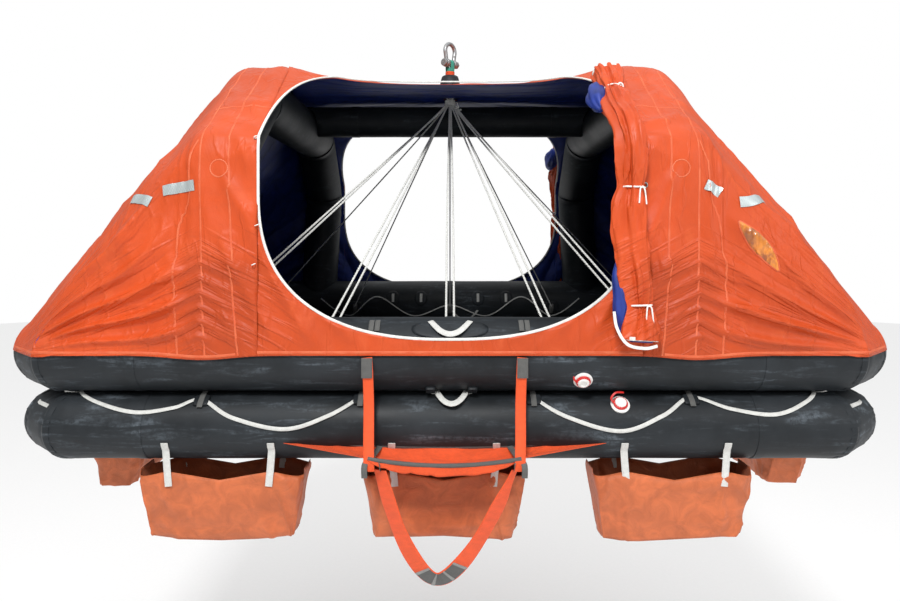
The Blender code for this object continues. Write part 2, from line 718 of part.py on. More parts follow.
def build_tow_patches(rubber):
    """A towing patch at each end of the lower tube, with a flat outer face."""
    saddle = helper("patch_cutter", mitred_tube(
        tube_outline(LOWER_HALF_X, LOWER_AXIS), LOWER_RADIUS + FABRIC_GAP, UP, TUBE_SIDES, closed=True))
    for side, name in ((-1, "tow_patch_left"), (1, "tow_patch_right")):
        ends = sorted((side * (PATCH_OUT - PATCH_BACK), side * PATCH_OUT))
        low = drop((ends[0], -PATCH_HALF_WIDTH, LOWER_AXIS - PATCH_HALF_HEIGHT))
        high = drop((ends[1], PATCH_HALF_WIDTH, LOWER_AXIS + PATCH_HALF_HEIGHT))
        boolean(add(name, box(low, high), rubber, smooth=False), saddle)


def build_valves(plastic):
    """Topping-up valves on the near side."""
    places = (("valve_upper", 0.565, UPPER_AXIS, UPPER_RADIUS, 0.364), ("valve_lower", 0.73, LOWER_AXIS, LOWER_RADIUS, 0.255))
    for name, x, axis_height, radius, height in places:
        slope = math.asin((height - axis_height) / radius)
        outward = Vector((0, -math.cos(slope), math.sin(slope)))
        foot = drop((x, -TUBE_HALF_Y, axis_height)) + outward * (radius + 0.002)
        add(name, cone(foot, foot + outward * VALVE_RISE, VALVE_RADIUS, 0.030, 20), plastic)


def build_raft():
    clear_scene()
    rubber = material("tube_rubber", (0.030, 0.033, 0.036), 0.55)
    cloth = material("canopy_cloth", (0.72, 0.13, 0.045), 0.6)
    bag = material("pocket_cloth", (0.62, 0.20, 0.07), 0.7)
    webbing = material("orange_webbing", (0.80, 0.14, 0.035), 0.7)
    rope = material("white_rope", (0.55, 0.55, 0.52), 0.85)
    sling = material("green_sling", (0.05, 0.36, 0.25), 0.7)
    binding = material("orange_binding", (0.80, 0.12, 0.04), 0.6)
    steel = material("galvanised_steel", (0.60, 0.61, 0.60), 0.35, metallic=1.0)
    painted = material("painted_cylinder", (0.18, 0.19, 0.20), 0.4, metallic=0.3)
    brass = material("valve_brass", (0.60, 0.45, 0.18), 0.35, metallic=1.0)
    plastic = material("valve_plastic", (0.82, 0.82, 0.80), 0.4)
    build_tubes(rubber)
    build_floor(rubber)
    build_arches(rubber)
    build_canopy(cloth)
    build_door_rolls(cloth)
    build_pockets(bag)
    build_ramp(cloth, webbing)
    build_step(webbing)
    build_bridle(rope, rubber, binding)
    build_shackle(steel, sling)
    build_gas_cylinder(painted, brass)
    build_valves(plastic)
    build_tow_patches(rubber)


build_raft()
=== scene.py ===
"""Looks for the davit-launched life raft: every finish and soft piece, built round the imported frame.

Metres, in the raft's own frame: the origin is the inside of the shackle's crown, +X along the raft,
-Y towards the boarding ramp. Heights in this script are above the lower tube's underside.
"""

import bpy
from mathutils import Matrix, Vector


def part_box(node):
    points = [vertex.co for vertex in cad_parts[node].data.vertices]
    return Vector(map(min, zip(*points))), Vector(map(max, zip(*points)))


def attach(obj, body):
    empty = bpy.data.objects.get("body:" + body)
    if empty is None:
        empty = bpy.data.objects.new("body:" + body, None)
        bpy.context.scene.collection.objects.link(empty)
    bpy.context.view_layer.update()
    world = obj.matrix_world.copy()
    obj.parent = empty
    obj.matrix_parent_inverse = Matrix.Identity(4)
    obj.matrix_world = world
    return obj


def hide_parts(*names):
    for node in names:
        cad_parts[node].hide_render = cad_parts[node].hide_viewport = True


bl_info = {
    "name": "Davit Life Raft",
    "version": (1, 0, 0),
    "blender": (4, 5, 0),
    "location": "3D View > Sidebar > Life Raft",
    "description": "Builds the cloth, rubber, rope and webbing of a hanging life raft",
    "category": "Object",
}

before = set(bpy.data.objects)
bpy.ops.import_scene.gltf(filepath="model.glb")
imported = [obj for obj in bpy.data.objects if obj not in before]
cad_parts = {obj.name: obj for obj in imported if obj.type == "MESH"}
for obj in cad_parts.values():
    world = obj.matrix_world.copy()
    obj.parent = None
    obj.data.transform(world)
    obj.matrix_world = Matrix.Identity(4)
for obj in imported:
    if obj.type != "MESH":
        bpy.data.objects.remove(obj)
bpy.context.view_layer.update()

from math import asin, atan2, copysign, cos, exp, hypot, pi, radians, sin, sqrt, tan

import bmesh
import bpy
from bpy.props import FloatProperty, FloatVectorProperty, PointerProperty
from mathutils import Vector, noise
from mathutils.bvhtree import BVHTree

UP = Vector((0, 0, 1))
NEAR_FAR = ((-1, "near"), (1, "far"))
LEFT_RIGHT = ((-1, "left"), (1, "right"))

# Tubes, read from the frame, where each round tube has this many flat sides
FRAME_SIDES = 24
FLAT = cos(pi / FRAME_SIDES)
LOWER_LOW, LOWER_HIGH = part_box("lower_tube")
UPPER_LOW, UPPER_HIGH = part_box("upper_tube")
LOWER_RADIUS = (LOWER_HIGH.z - LOWER_LOW.z) / 2 / FLAT
UPPER_RADIUS = (UPPER_HIGH.z - UPPER_LOW.z) / 2 / FLAT
BASE = (LOWER_HIGH.z + LOWER_LOW.z) / 2 - LOWER_RADIUS
LOWER_AXIS = LOWER_RADIUS
UPPER_AXIS = (UPPER_HIGH.z + UPPER_LOW.z) / 2 - BASE
LOWER_X = LOWER_HIGH.x - LOWER_RADIUS * FLAT
UPPER_X = UPPER_HIGH.x - UPPER_RADIUS * FLAT
TUBE_Y = UPPER_HIGH.y - UPPER_RADIUS * FLAT
TUBE_MITRE = 0.10

# Arches and ridge
ARCH_RADIUS = 0.14
ARCH_FOOT_X = 1.065
ARCH_TOP_X = 1.000
ARCH_FOOT = UPPER_AXIS + 0.020
ARCH_ELBOW = 1.32
ARCH_TOP = 1.695
ARCH_TOP_HALF = 0.82
ARCH_LEAN = (ARCH_FOOT_X - ARCH_TOP_X) / (ARCH_TOP - ARCH_FOOT)
RIDGE_LOW, RIDGE_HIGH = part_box("ridge_tube")
RIDGE_Y = (RIDGE_LOW.y + RIDGE_HIGH.y) / 2
RIDGE_HEIGHT = (RIDGE_LOW.z + RIDGE_HIGH.z) / 2 - BASE
RIDGE_RADIUS = 0.10
SHRINK = 0.001
TAPE_RISE = 0.0012

# Canopy
SKIRT = 0.475
SKIRT_TOP = 0.66
SKIRT_OUT = 0.171
COVER = ARCH_RADIUS + 0.010
COVER_ANGLES = (0, 25, 50)
DOORWAY_X = {-1: 0.81, 1: 0.88}
DOOR_SILL = 0.543
DOOR_MIDDLE = 1.17
DOOR_POWER = 2.5
ROOF_EDGE_Y = 0.70
ROOF_EDGE_HEIGHT = 1.80
ROOF_EDGE_POWER = 2.3
ROOF_FALL = 0.25
SILL_EASE = 0.10
MAIN_SEAM = 1.055
OUTER_SEAM = 1.135

# Door covers, pockets, ramp and step
ROLL_RADIUS = 0.055
ROLL_GAP = 0.004
ROLL_FOOT = 0.55
ROLL_X = {-1: 0.782, 1: 0.935}
ROLL_LEAN = 0.046
ROLL_STEPS = 130
ROLL_TIES = (0.10, 0.45, 0.86)
POCKET_DEPTH = 0.24
POCKET_HEIGHT = 0.305
RAMP_MIDDLE = -0.022
RAMP_TIP = 0.712
RAMP_LIP = 0.31
RAMP_OUT = 1.63
RAMP_HEIGHT = 0.052
STEP_Y = -1.60
STEP_HEIGHT = 0.025
STEP_DEPTH = 0.445
STEP_HALF_TOP = 0.274
STEP_MIDDLE = -0.011
STEP_SHIFT = -0.039
STEP_NARROWING = 0.59

# Lifting gear
GATHER_HEIGHT = 1.81
FOOT_HEIGHT = 0.42
LEGS = {-1: (-1.29, -0.62, 0.0, 0.52, 1.02), 1: (-1.44, -0.75, 0.0, 0.80, 1.50)}
COLLAR_LOW = 1.905
COLLAR_HIGH = 1.985
BINDING_HIGH = 2.012
PIN = Vector((0, 0, -0.110))
SHACKLE_TURN = radians(51)
SHACKLE_WAY = Vector((cos(SHACKLE_TURN), sin(SHACKLE_TURN), 0))
SHACKLE_SIDE = Vector((-SHACKLE_WAY.y, SHACKLE_WAY.x, 0))
SHACKLE_BAR = 0.0125
SHACKLE_LEG = 0.034
SHACKLE_BOW = 0.0465
PIN_RADIUS = 0.014

# The photograph's view, in its own pixels
EYE = (0.0, -4.54, 0.969)
PHOTO_SCALE = 723.2
PHOTO_MIDDLE = 450
PHOTO_LEVEL = 238

# How far each line of the canopy's end is rounded at the raft's corners, as a share of its length
HIP_EASES = (0.018, 0.018, 0.018, 0.022, 0.055, 0.022, 0.018)
END_PANELS = ("near_wall", "near_shoulder", "top", "far_shoulder", "far_wall", "near", "end", "far")

# Places across of the seams, at the skirt, above it, at the elbow and over the top
MAIN_LINE = (1.030, 1.045, 1.060, 1.030)
INNER_LINE = (0.890, 0.915, 0.938, 0.930)
OUTER_LINE = ((1.145, SKIRT + 0.004), (1.160, 0.66), (1.165, 0.85), (1.120, 1.18), (1.09, 1.41))
SEAM_WIDTH = 0.008
# Top of the painted shade over each arch's foot
SLEEVE_TOP = 0.90
STITCH_LENGTH = 0.0085

# The tapes on the canopy's near side, where the photograph shows them
TAPES = (("canopy_left", ((126, 197), (138, 199), (150, 202))), ("canopy_left", ((163, 191), (178, 188), (194, 185))),
         ("canopy_right", ((706, 184), (713, 188), (721, 193))), ("canopy_right", ((740, 202), (751, 201), (762, 200))))

# Lifelines and patches on the tubes, as (x, height)
LIFELINES = (((-1.67, 0.310), (-1.52, 0.262), (-1.34, 0.226), (-1.18, 0.242), (-1.07, 0.270), (-0.92, 0.205),
              (-0.70, 0.162), (-0.52, 0.212), (-0.39, 0.277)),
             ((0.36, 0.277), (0.50, 0.208), (0.72, 0.154), (0.90, 0.212), (1.04, 0.277), (1.20, 0.238),
              (1.38, 0.218), (1.53, 0.262), (1.63, 0.310)))
LIFELINE_PATCHES = ((-1.07, 0.268), (1.04, 0.272), (-0.385, 0.272), (0.36, 0.272))
INNER_PATCHES = ((-0.451, 0.494), (-0.229, 0.494), (0.2215, 0.494), (0.443, 0.494))
INNER_SWAGS = ((-1.02, 0.49), (-0.80, 0.36), (-0.5775, 0.502), (-0.29, 0.358), (0.0, 0.44), (0.29, 0.358),
               (0.5617, 0.502), (0.80, 0.36), (1.02, 0.49))

# Woven finishes, as (slot, colour, how bright, how grimy)
WEBBINGS = {"lifeline_webbing": ("white_rope", "pale", 1.0, 0.25), "door_binding": ("white_rope", "pale", 1.2, 0.1),
            "grey_webbing": ("tube_rubber", "pale", 0.16, 0.25), "pad_binding": ("white_rope", "pale", 0.45, 0.25),
            "orange_binding": ("orange_binding", "orange", 1.0, 0.25), "ramp_cloth": ("canopy_cloth", "orange", 1.0, 0.25),
            "ramp_webbing": ("orange_webbing", "orange", 1.0, 0.25), "step_webbing": ("orange_webbing", "orange", 1.15, 0.1)}


# Settings that a user would change
TINT = {"subtype": "COLOR", "size": 3, "min": 0, "max": 1}


class RubberSettings(bpy.types.PropertyGroup):
    """Inflated tubes"""
    colour: FloatVectorProperty(name="Tube colour", description="Rubberised cloth", default=(0.014, 0.0165, 0.019), **TINT)
    chalk: FloatVectorProperty(name="Chalk colour", description="Pale scuffs and talc", default=(0.16, 0.19, 0.22), **TINT)
    tape_width: FloatProperty(name="Tape width", description="Tape over each joint of a tube",
                              default=0.045, min=0.01, max=0.1, unit="LENGTH")


class ClothSettings(bpy.types.PropertyGroup):
    """Canopy, doors, pockets and ramp"""
    colour: FloatVectorProperty(name="Canopy colour", description="Coated orange cloth", default=(0.56, 0.070, 0.013), **TINT)
    lining: FloatVectorProperty(name="Lining colour", description="Blue inner face", default=(0.010, 0.030, 0.22), **TINT)
    pocket: FloatVectorProperty(name="Pocket colour", description="Water pocket cloth", default=(0.53, 0.126, 0.038), **TINT)
    fold_depth: FloatProperty(name="Fold depth", description="Depth of the canopy's soft folds",
                              default=0.021, min=0, max=0.03, unit="LENGTH")


class WebbingSettings(bpy.types.PropertyGroup):
    """Ropes, lifelines and straps"""
    pale: FloatVectorProperty(name="Lifeline colour", description="Undyed webbing and rope", default=(0.66, 0.66, 0.63), **TINT)
    orange: FloatVectorProperty(name="Strap colour", description="Ramp straps and step", default=(0.80, 0.085, 0.012), **TINT)
    lifeline_width: FloatProperty(name="Lifeline width", description="Width of the outer lifeline",
                                  default=0.017, min=0.01, max=0.06, unit="LENGTH")
    rope_radius: FloatProperty(name="Rope radius", description="Radius of one bridle rope",
                               default=0.0058, min=0.003, max=0.02, unit="LENGTH")
    rope_lay: FloatProperty(name="Rope lay", description="Length of one turn of a strand",
                            default=0.050, min=0.02, max=0.1, unit="LENGTH")


class StageSettings(bpy.types.PropertyGroup):
    """Floor, lights and camera"""
    floor_height: FloatProperty(name="Floor height", description="Floor under the hanging raft", default=-4.60, unit="LENGTH")
    lens: FloatProperty(name="Lens", description="Focal length on a 36 mm sensor, in millimetres", default=28.9, min=10, max=200)
    shift: FloatProperty(name="Vertical shift", description="How far the level camera's picture looks down",
                         default=-0.0694, min=-0.2, max=0.2)
    sky: FloatProperty(name="Studio light", description="Strength of the white surroundings", default=0.4, min=0, max=5)
    overhead: FloatProperty(name="Overhead light", description="Strength of the soft light from above",
                            default=1.5, min=0, max=10)
    key: FloatProperty(name="Key light", description="Power of the large soft light", default=210, min=0, max=3000,
                       unit="POWER")


def settings(name):
    return getattr(bpy.context.scene, "raft_" + name)


# Numbers and points
def lift(x, y, height):
    """A point from its height above the lower tube's underside."""
    return Vector((x, y, height + BASE))


def lifted(*places):
    return [lift(*place) for place in places]


def clamp(value, low=0.0, high=1.0):
    return max(low, min(high, value))


def smooth(value, low, high):
    """0 below low, 1 above high, and an S-shaped rise between them; low may be the larger."""
    share = clamp((value - low) / (high - low))
    return share * share * (3 - 2 * share)


def boxed(value, power):
    """A number's size raised to a power, with its sign kept. Small powers square a round section off."""
    return copysign(abs(value) ** power, value)


def polar(radius, angle):
    return radius * cos(angle), radius * sin(angle)


def turns(count):
    """The angles of evenly spaced points round a circle."""
    return [2 * pi * k / count for k in range(count)]


def length_of(points):
    return sum((a - b).length for a, b in zip(points, points[1:]))


def along_at(points, i):
    """The way that a line runs at one of its points."""
    return (points[min(i + 1, len(points) - 1)] - points[max(i - 1, 0)]).normalized()


def ripple(point, scale, seed=0.0):
    """Smooth noise between -1 and 1 with the given size of bump."""
    return noise.noise(Vector(point) / scale + Vector((seed, seed * 1.7, seed * 0.6)))


def ridge(value):
    """Turns noise into narrow soft folds between 0 and 1."""
    return max(0.0, 1.0 - abs(value) * 2.6) ** 2


# Mesh helpers
def loop_grid(across, along, place, span=(1.0, 1.0), round_across=False, round_along=False, caps=False):
    """A grid of quads whose points go where place(u, v) says, with its UVs in metres of span.
    Either way of the grid may close on itself, and a closed one may be capped."""
    builder = bmesh.new()
    layer = builder.loops.layers.uv.new("UVMap")
    bmesh.ops.create_grid(builder, x_segments=across, y_segments=along, size=0.5)
    for face in builder.faces:
        for corner in face.loops:
            corner[layer].uv = ((corner.vert.co.x + 0.5) * span[0], (corner.vert.co.y + 0.5) * span[1])
    for point in builder.verts:
        u = round((point.co.x + 0.5) * across) / across
        v = round((point.co.y + 0.5) * along) / along
        point.co = place(u, v)
    if round_across or round_along:
        bmesh.ops.remove_doubles(builder, verts=[point for point in builder.verts if point.is_boundary], dist=1e-5)
    if caps:
        bmesh.ops.holes_fill(builder, edges=[edge for edge in builder.edges if edge.is_boundary], sides=0)
    if round_across and (caps or round_along):
        bmesh.ops.recalc_face_normals(builder, faces=builder.faces)
    return builder


def join(builders):
    """One bmesh from several, each freed."""
    whole = bmesh.new()
    whole.loops.layers.uv.new("UVMap")
    for builder in builders:
        part = bpy.data.meshes.new("part")
        builder.to_mesh(part)
        builder.free()
        whole.from_mesh(part)
        bpy.data.meshes.remove(part)
    return whole


def make_piece(name, parts, finish, replaces=(), smooth=60, body="raft"):
    """Turns one bmesh, or a list of them, into a finished piece that rides on a body."""
    builder = join(parts) if isinstance(parts, list) else parts
    finishes = finish if isinstance(finish, list) else [finish]
    mesh = bpy.data.meshes.new(name)
    builder.to_mesh(mesh)
    builder.free()
    if smooth:
        mesh.shade_smooth()
        mesh.set_sharp_from_angle(angle=radians(smooth))
    for material in finishes:
        mesh.materials.append(material)
    piece = bpy.data.objects.new(name, mesh)
    bpy.context.scene.collection.objects.link(piece)
    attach(piece, body)
    if replaces:
        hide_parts(*([replaces] if isinstance(replaces, str) else replaces))
    return piece


def thicken(piece, wall, lining=False):
    """Gives a sheet its cloth thickness inwards, with the lining's finish on the inner face."""
    step = piece.modifiers.new("wall", "SOLIDIFY")
    step.thickness = wall
    step.offset = -1.0
    step.material_offset = 1 if lining else 0


def smooth_path(points, gap):
    """Evenly spaced points on a smooth curve through the given ones."""
    points = [Vector(p) for p in points]
    last = len(points) - 1
    fine = []
    for i in range(last):
        a, b, c, d = [points[max(0, min(last, i + k))] for k in (-1, 0, 1, 2)]
        for k in range(24):
            t = k / 24
            fine.append(0.5 * (2 * b + (c - a) * t + (2 * a - 5 * b + 4 * c - d) * t * t
                               + (3 * b - a - 3 * c + d) * t ** 3))
    return even_path(fine + [points[-1]], gap)


def even_path(fine, gap, closed=False):
    """The same line with its points an even distance apart."""
    lengths = [0.0]
    for a, b in zip(fine, fine[1:]):
        lengths.append(lengths[-1] + (b - a).length)
    steps = max(2, round(lengths[-1] / gap))
    made = []
    at = 0
    for k in range(steps if closed else steps + 1):
        target = lengths[-1] * k / steps
        while at < len(fine) - 2 and lengths[at + 1] < target:
            at += 1
        stretch = lengths[at + 1] - lengths[at]
        share = (target - lengths[at]) / stretch if stretch else 0.0
        made.append(fine[at].lerp(fine[at + 1], min(1.0, share)))
    return made


def sweep(points, section, sides, facing=None, closed=False, around=1.0):
    """A bar along a path. section(angle, distance) gives its half width across and half height out at an angle.
    facing is the way that the bar's outer side looks, or a list of them, one for each point of the path; without it
    the bar turns as little as it can. around is how many metres of UV go round it."""
    count = len(points)
    steps = count if closed else count - 1
    distance = [0.0]
    for a, b in zip(points, points[1:]):
        distance.append(distance[-1] + (b - a).length)
    whole = distance[-1] + ((points[0] - points[-1]).length if closed else 0)
    frames = []
    out = None
    for i, point in enumerate(points):
        ahead = points[(i + 1) % count] if closed or i < count - 1 else point
        behind = points[i - 1] if closed or i else point
        along = (ahead - behind).normalized()
        if facing is not None:
            out = Vector(facing[i] if isinstance(facing, list) else facing)
        elif out is None:
            out = UP if abs(along.z) < 0.9 else Vector((0, -1, 0))
        out = (out - along * out.dot(along)).normalized()
        frames.append((along.cross(out), out))

    def place(u, v):
        i = round(v * steps)
        wide, high = section(2 * pi * (u % 1.0), distance[i % count])
        across, up = frames[i % count]
        return points[i % count] + across * wide + up * high

    return loop_grid(sides, steps, place, (around, whole), round_across=True, round_along=closed, caps=not closed)


def cord(points, radius, sides, facing=None, gap=None, closed=False):
    """A round bar; with a gap, its path is first made smooth."""
    return sweep(smooth_path(points, gap) if gap else points, lambda angle, distance: polar(radius, angle), sides, facing, closed)


def flat_section(width, thickness, angle):
    """A strap's section, nearly a rectangle, its outer face first."""
    return boxed(cos(angle), 0.35) * width / 2, boxed(sin(angle), 0.5) * thickness / 2


def strap(points, width, thickness, facing=None, gap=None, sides=8, closed=False):
    """Webbing along a path, made smooth first if a gap is given. Its UVs run in metres: over its width, then along."""
    return sweep(smooth_path(points, gap) if gap else points, lambda angle, distance: flat_section(width, thickness, angle),
                 sides, facing, closed, around=2 * width)


def rope(points, radius, lay, sides=15):
    """Three-strand laid rope: its section has three round lobes that turn as it goes."""
    strand = 0.464 * radius
    reach = 0.536 * radius

    def section(angle, distance):
        turn = (angle - 2 * pi * distance / lay) % (2 * pi / 3) - pi / 3
        inside = max(0.0, strand ** 2 - (reach * sin(turn)) ** 2)
        return polar(max(reach * cos(turn) + sqrt(inside), 0.66 * radius), angle)

    return sweep(points, section, sides, around=2 * pi * radius)


def axes_of(axis):
    """An axis made one long, and two more square to it."""
    axis = Vector(axis).normalized()
    across = axis.orthogonal().normalized()
    return axis, across, axis.cross(across)


def turned(profile, foot, way, sides=32):
    """A turned shape from (distance along its axis, radius) pairs."""
    axis, across, up = axes_of(way)
    steps = len(profile) - 1

    def place(u, v):
        along, radius = profile[round(v * steps)]
        angle = 2 * pi * u
        return Vector(foot) + axis * along + (across * cos(angle) + up * sin(angle)) * radius

    reach = max(radius for _, radius in profile)
    return loop_grid(sides, steps, place, (2 * pi * reach, profile[-1][0] - profile[0][0]), round_across=True, caps=True)


def barrel(low, high, radius, round_off):
    """A turned profile from low to high with rounded rims."""
    rim = ((0, 2), (0, 1), (0.3, 0.3), (1, 0))
    return ([(low + round_off * a, radius - round_off * b) for a, b in rim]
            + [(high - round_off * a, radius - round_off * b) for a, b in rim[::-1]])


def hoop(centre, way, reach, radius, count=40, sides=10):
    """A ring of cord or wire."""
    axis, across, up = axes_of(way)
    points = [Vector(centre) + (across * cos(t) + up * sin(t)) * reach for t in turns(count)]
    return cord(points, radius, sides, axis, closed=True)


def plug(tree, socket, value):
    """Puts a value or a wire into an input."""
    if isinstance(value, Wire):
        tree.links.new(value.socket, socket)
    else:
        socket.default_value = value


class Wire:
    """An output of a shader node. Sums and products of wires add Math nodes."""

    def __init__(self, tree, socket):
        self.tree = tree
        self.socket = socket

    def node(self, kind, inputs, output=0, **values):
        """A new node with these settings, and values or wires for some of its inputs."""
        node = self.tree.nodes.new(kind)
        for name, value in values.items():
            setattr(node, name, value)
        for index, value in inputs.items():
            plug(self.tree, node.inputs[index], value)
        return Wire(self.tree, node.outputs[output])

    def math(self, operation, second=0.0, first=None, clamped=False):
        return self.node("ShaderNodeMath", {0: self if first is None else first, 1: second},
                         operation=operation, use_clamp=clamped)

    def __add__(self, other):
        return self.math("ADD", other)

    def __mul__(self, other):
        return self.math("MULTIPLY", other)

    def __rmul__(self, other):
        return self.math("MULTIPLY", self, other)

    def __sub__(self, other):
        return self.math("SUBTRACT", other)

    def __rsub__(self, other):
        return self.math("SUBTRACT", self, other)

    def __abs__(self):
        return self.math("ABSOLUTE")

    def step(self, low, high, to_low=0.0, to_high=1.0):
        return self.node("ShaderNodeMapRange", {0: self, 1: low, 2: high, 3: to_low, 4: to_high},
                         interpolation_type="SMOOTHSTEP")

    def between(self, low, high, ease):
        """1 where the value lies between two others, easing to 0 outside."""
        return self.step(low - ease, low + ease) * self.step(high - ease, high + ease, 1.0, 0.0)

    def mix(self, first, second):
        """The first colour where this is 0 and the second where it is 1."""
        return self.node("ShaderNodeMix", {0: self, 6: first, 7: second}, 2, data_type="RGBA")

    def noise(self, scale, detail=4.0, rough=0.55, warp=0.0):
        return self.node("ShaderNodeTexNoise", {"Vector": self, "Scale": scale, "Detail": detail, "Roughness": rough,
                                                "Distortion": warp}, "Fac")

    def stretched(self, *scale):
        return self.node("ShaderNodeMapping", {0: self, "Scale": scale})

    def split(self):
        parts = self.node("ShaderNodeSeparateXYZ", {0: self}).socket.node.outputs
        return [Wire(self.tree, part) for part in parts]

    def group(self, name, maker, **values):
        """The outputs of a shared effect, placed on this vector with its own values."""
        node = self.tree.nodes.new("ShaderNodeGroup")
        node.node_tree = bpy.data.node_groups.get(name) or maker(name)
        for label, value in {"Vector": self, **values}.items():
            plug(self.tree, node.inputs[label], value)
        return [Wire(self.tree, output) for output in node.outputs]


def new_group(name, number, start, outputs):
    """A shared effect with a vector and one more number going in; returns its tree's wires and what closes it."""
    group = bpy.data.node_groups.new(name, "ShaderNodeTree")
    for label, kind, default in (("Vector", "NodeSocketVector", (0, 0, 0)), (number, "NodeSocketFloat", start)):
        group.interface.new_socket(label, in_out="INPUT", socket_type=kind).default_value = default
    for label in outputs:
        group.interface.new_socket(label, in_out="OUTPUT", socket_type="NodeSocketFloat")
    entry = group.nodes.new("NodeGroupInput")
    leave = group.nodes.new("NodeGroupOutput")

    def close(*wires):
        for wire, socket in zip(wires, leave.inputs):
            plug(group, socket, wire)
        return group

    return Wire(group, entry.outputs[0]), Wire(group, entry.outputs[1]), close


def scuffs(name):
    """Chalky scuffs and streaks: masks that any finish can use."""
    vector, amount, close = new_group(name, "Amount", 0.5, ("Mask", "Cloud", "Grain"))
    cloud = vector.noise(2.3, 5.0, 0.6)
    streak = vector.stretched(1.2, 5.0, 9.0).noise(3.0, 6.0, 0.65, 0.6)
    fine = vector.noise(55.0, 5.0, 0.7)
    broken = streak.step(0.50, 0.72) * cloud.step(0.35, 0.7) * fine.step(0.3, 0.62)
    return close(broken.math("MULTIPLY", amount, clamped=True), cloud, fine)


def weave(name):
    """Two sets of threads over and under, as a height, with a little unevenness."""
    vector, threads, close = new_group(name, "Threads", 900.0, ("Height", "Tone"))
    across, along = [(axis * threads).math("SINE") for axis in vector.split()[:2]]
    uneven = vector.noise(40.0, 3.0)
    return close(across * along * 0.5 + uneven, uneven)


def tint(colour, factor=1.0):
    return (colour[0] * factor, colour[1] * factor, colour[2] * factor, 1.0)


def start_finish(name, roughness, metallic=0.0, coat=0.0, sheen=0.0, specular=0.5):
    """A new material, and its places in the object's space and on its UV map."""
    made = bpy.data.materials.new(name)
    made.use_nodes = True
    tree = made.node_tree
    values = {"Roughness": roughness, "Metallic": metallic, "Coat Weight": coat, "Sheen Weight": sheen,
              "Specular IOR Level": specular}
    for socket, value in values.items():
        tree.nodes["Principled BSDF"].inputs[socket].default_value = value
    places = tree.nodes.new("ShaderNodeTexCoord")
    return made, Wire(tree, places.outputs["Object"]), Wire(tree, places.outputs["UV"])


def end_finish(made, colour, height, strength, distance, roughness=None):
    """Plugs a material's colour, bumps and, where it varies, roughness into its shader."""
    tree = made.node_tree
    sockets = tree.nodes["Principled BSDF"].inputs
    plug(tree, sockets["Base Color"], colour)
    if roughness:
        plug(tree, sockets["Roughness"], roughness)
    bumps = height.node("ShaderNodeBump", {"Strength": strength, "Distance": distance, "Height": height})
    plug(tree, sockets["Normal"], bumps)
    return made


def finish_once(maker):
    """Each finish is made the first time that a piece asks for it."""
    store = {}

    def get(*values):
        if values not in store:
            store[values] = maker(*values)
        return store[values]
    return get


@finish_once
def rubber_finish(chalkiness=1.0):
    """Rubberised cloth of the tubes: nearly black, with chalky scuffs and soft blotches."""
    rubber = settings("rubber")
    made, where, _ = start_finish(f"tube_rubber_{chalkiness:.1f}", 0.5, specular=0.22)
    mask, cloud, grain = where.group("scuffs", scuffs, Amount=0.75 * chalkiness)
    tone = cloud.step(0.3, 0.75).mix(tint(rubber.colour, 0.75), tint(rubber.colour, 1.9))
    height = where.noise(420.0, 2.0) * 0.4 + grain
    return end_finish(made, mask.mix(tone, tint(rubber.chalk)), height, 0.25, 0.0012, cloud.step(0.25, 0.8, 0.42, 0.66))


def creases(parts, thin):
    """Thin raised lines along the level lines of noise, in a space made from three numbers."""
    space = parts[0].node("ShaderNodeCombineXYZ", dict(enumerate(parts)))
    return abs(space.noise(1.0, 3.0, 0.5, 0.4) - 0.5).step(0.0, thin, 1.0, 0.0)


@finish_once
def canopy_finish():
    """Orange coated cloth: slightly glossy, crumpled and faded, with painted shade where two layers lie over an arch's
    foot.
    """
    colour = settings("cloth").colour
    made, where, flat = start_finish("canopy_cloth", 0.5, specular=0.30)
    broad = where.noise(1.6, 5.0, 0.6, 0.4)
    crumple = where.stretched(1.0, 1.0, 0.45).noise(12.0, 6.0, 0.62, 0.8)
    tone = broad.step(0.3, 0.72).mix(tint(colour, 0.84), tint(colour, 1.08))
    faded = crumple.step(0.52, 0.78, 0.0, 0.22).mix(tone, (0.72, 0.15, 0.045, 1.0))
    along, y, up = where.split()
    out = abs(along)
    # Painted shade: the cloth is darkened where it lies over the dark foot of an arch
    arch_foot_shade = out.between(DOORWAY_X[-1], OUTER_SEAM, 0.07) * up.between(BASE, BASE + SLEEVE_TOP - 0.03, 0.04)
    with_arch_foot_shade = (arch_foot_shade * broad.step(0.2, 0.7, 0.25, 0.5)).mix(faded, tint(colour, 0.55))
    dirty = where.group("scuffs", scuffs, Amount=0.22)[0].mix(with_arch_foot_shade, (0.27, 0.055, 0.028, 1.0))
    threads = flat.group("weave", weave, Threads=5200.0)[0]

    # Creases: a fan from the tube's corner, pleats over the arch's foot, and long drapes elsewhere
    rise = up - (BASE + 0.44)
    away = 1.95 - out
    fan = creases((rise.math("ARCTAN2", away) * 9.0, abs(rise) + away, y), 0.06)
    slope = out.step(1.12, 1.26) * abs(y).step(0.95, 1.30)
    chevron = up * 17.0 + abs(out - MAIN_SEAM) * 9.0
    pleat = creases((chevron, out * 2.0, y), 0.08)
    low = up.between(BASE + 0.48, BASE + 0.98, 0.08) * out.between(0.66, 1.22, 0.09)
    drape = creases((along * 8.0, y * 6.0, up * 2.4), 0.045)
    height = crumple * 0.9 + threads * 0.006 + slope * fan + low * pleat + 0.55 * drape
    return end_finish(made, dirty, height, 0.55, 0.007, crumple.step(0.3, 0.7, 0.40, 0.58))


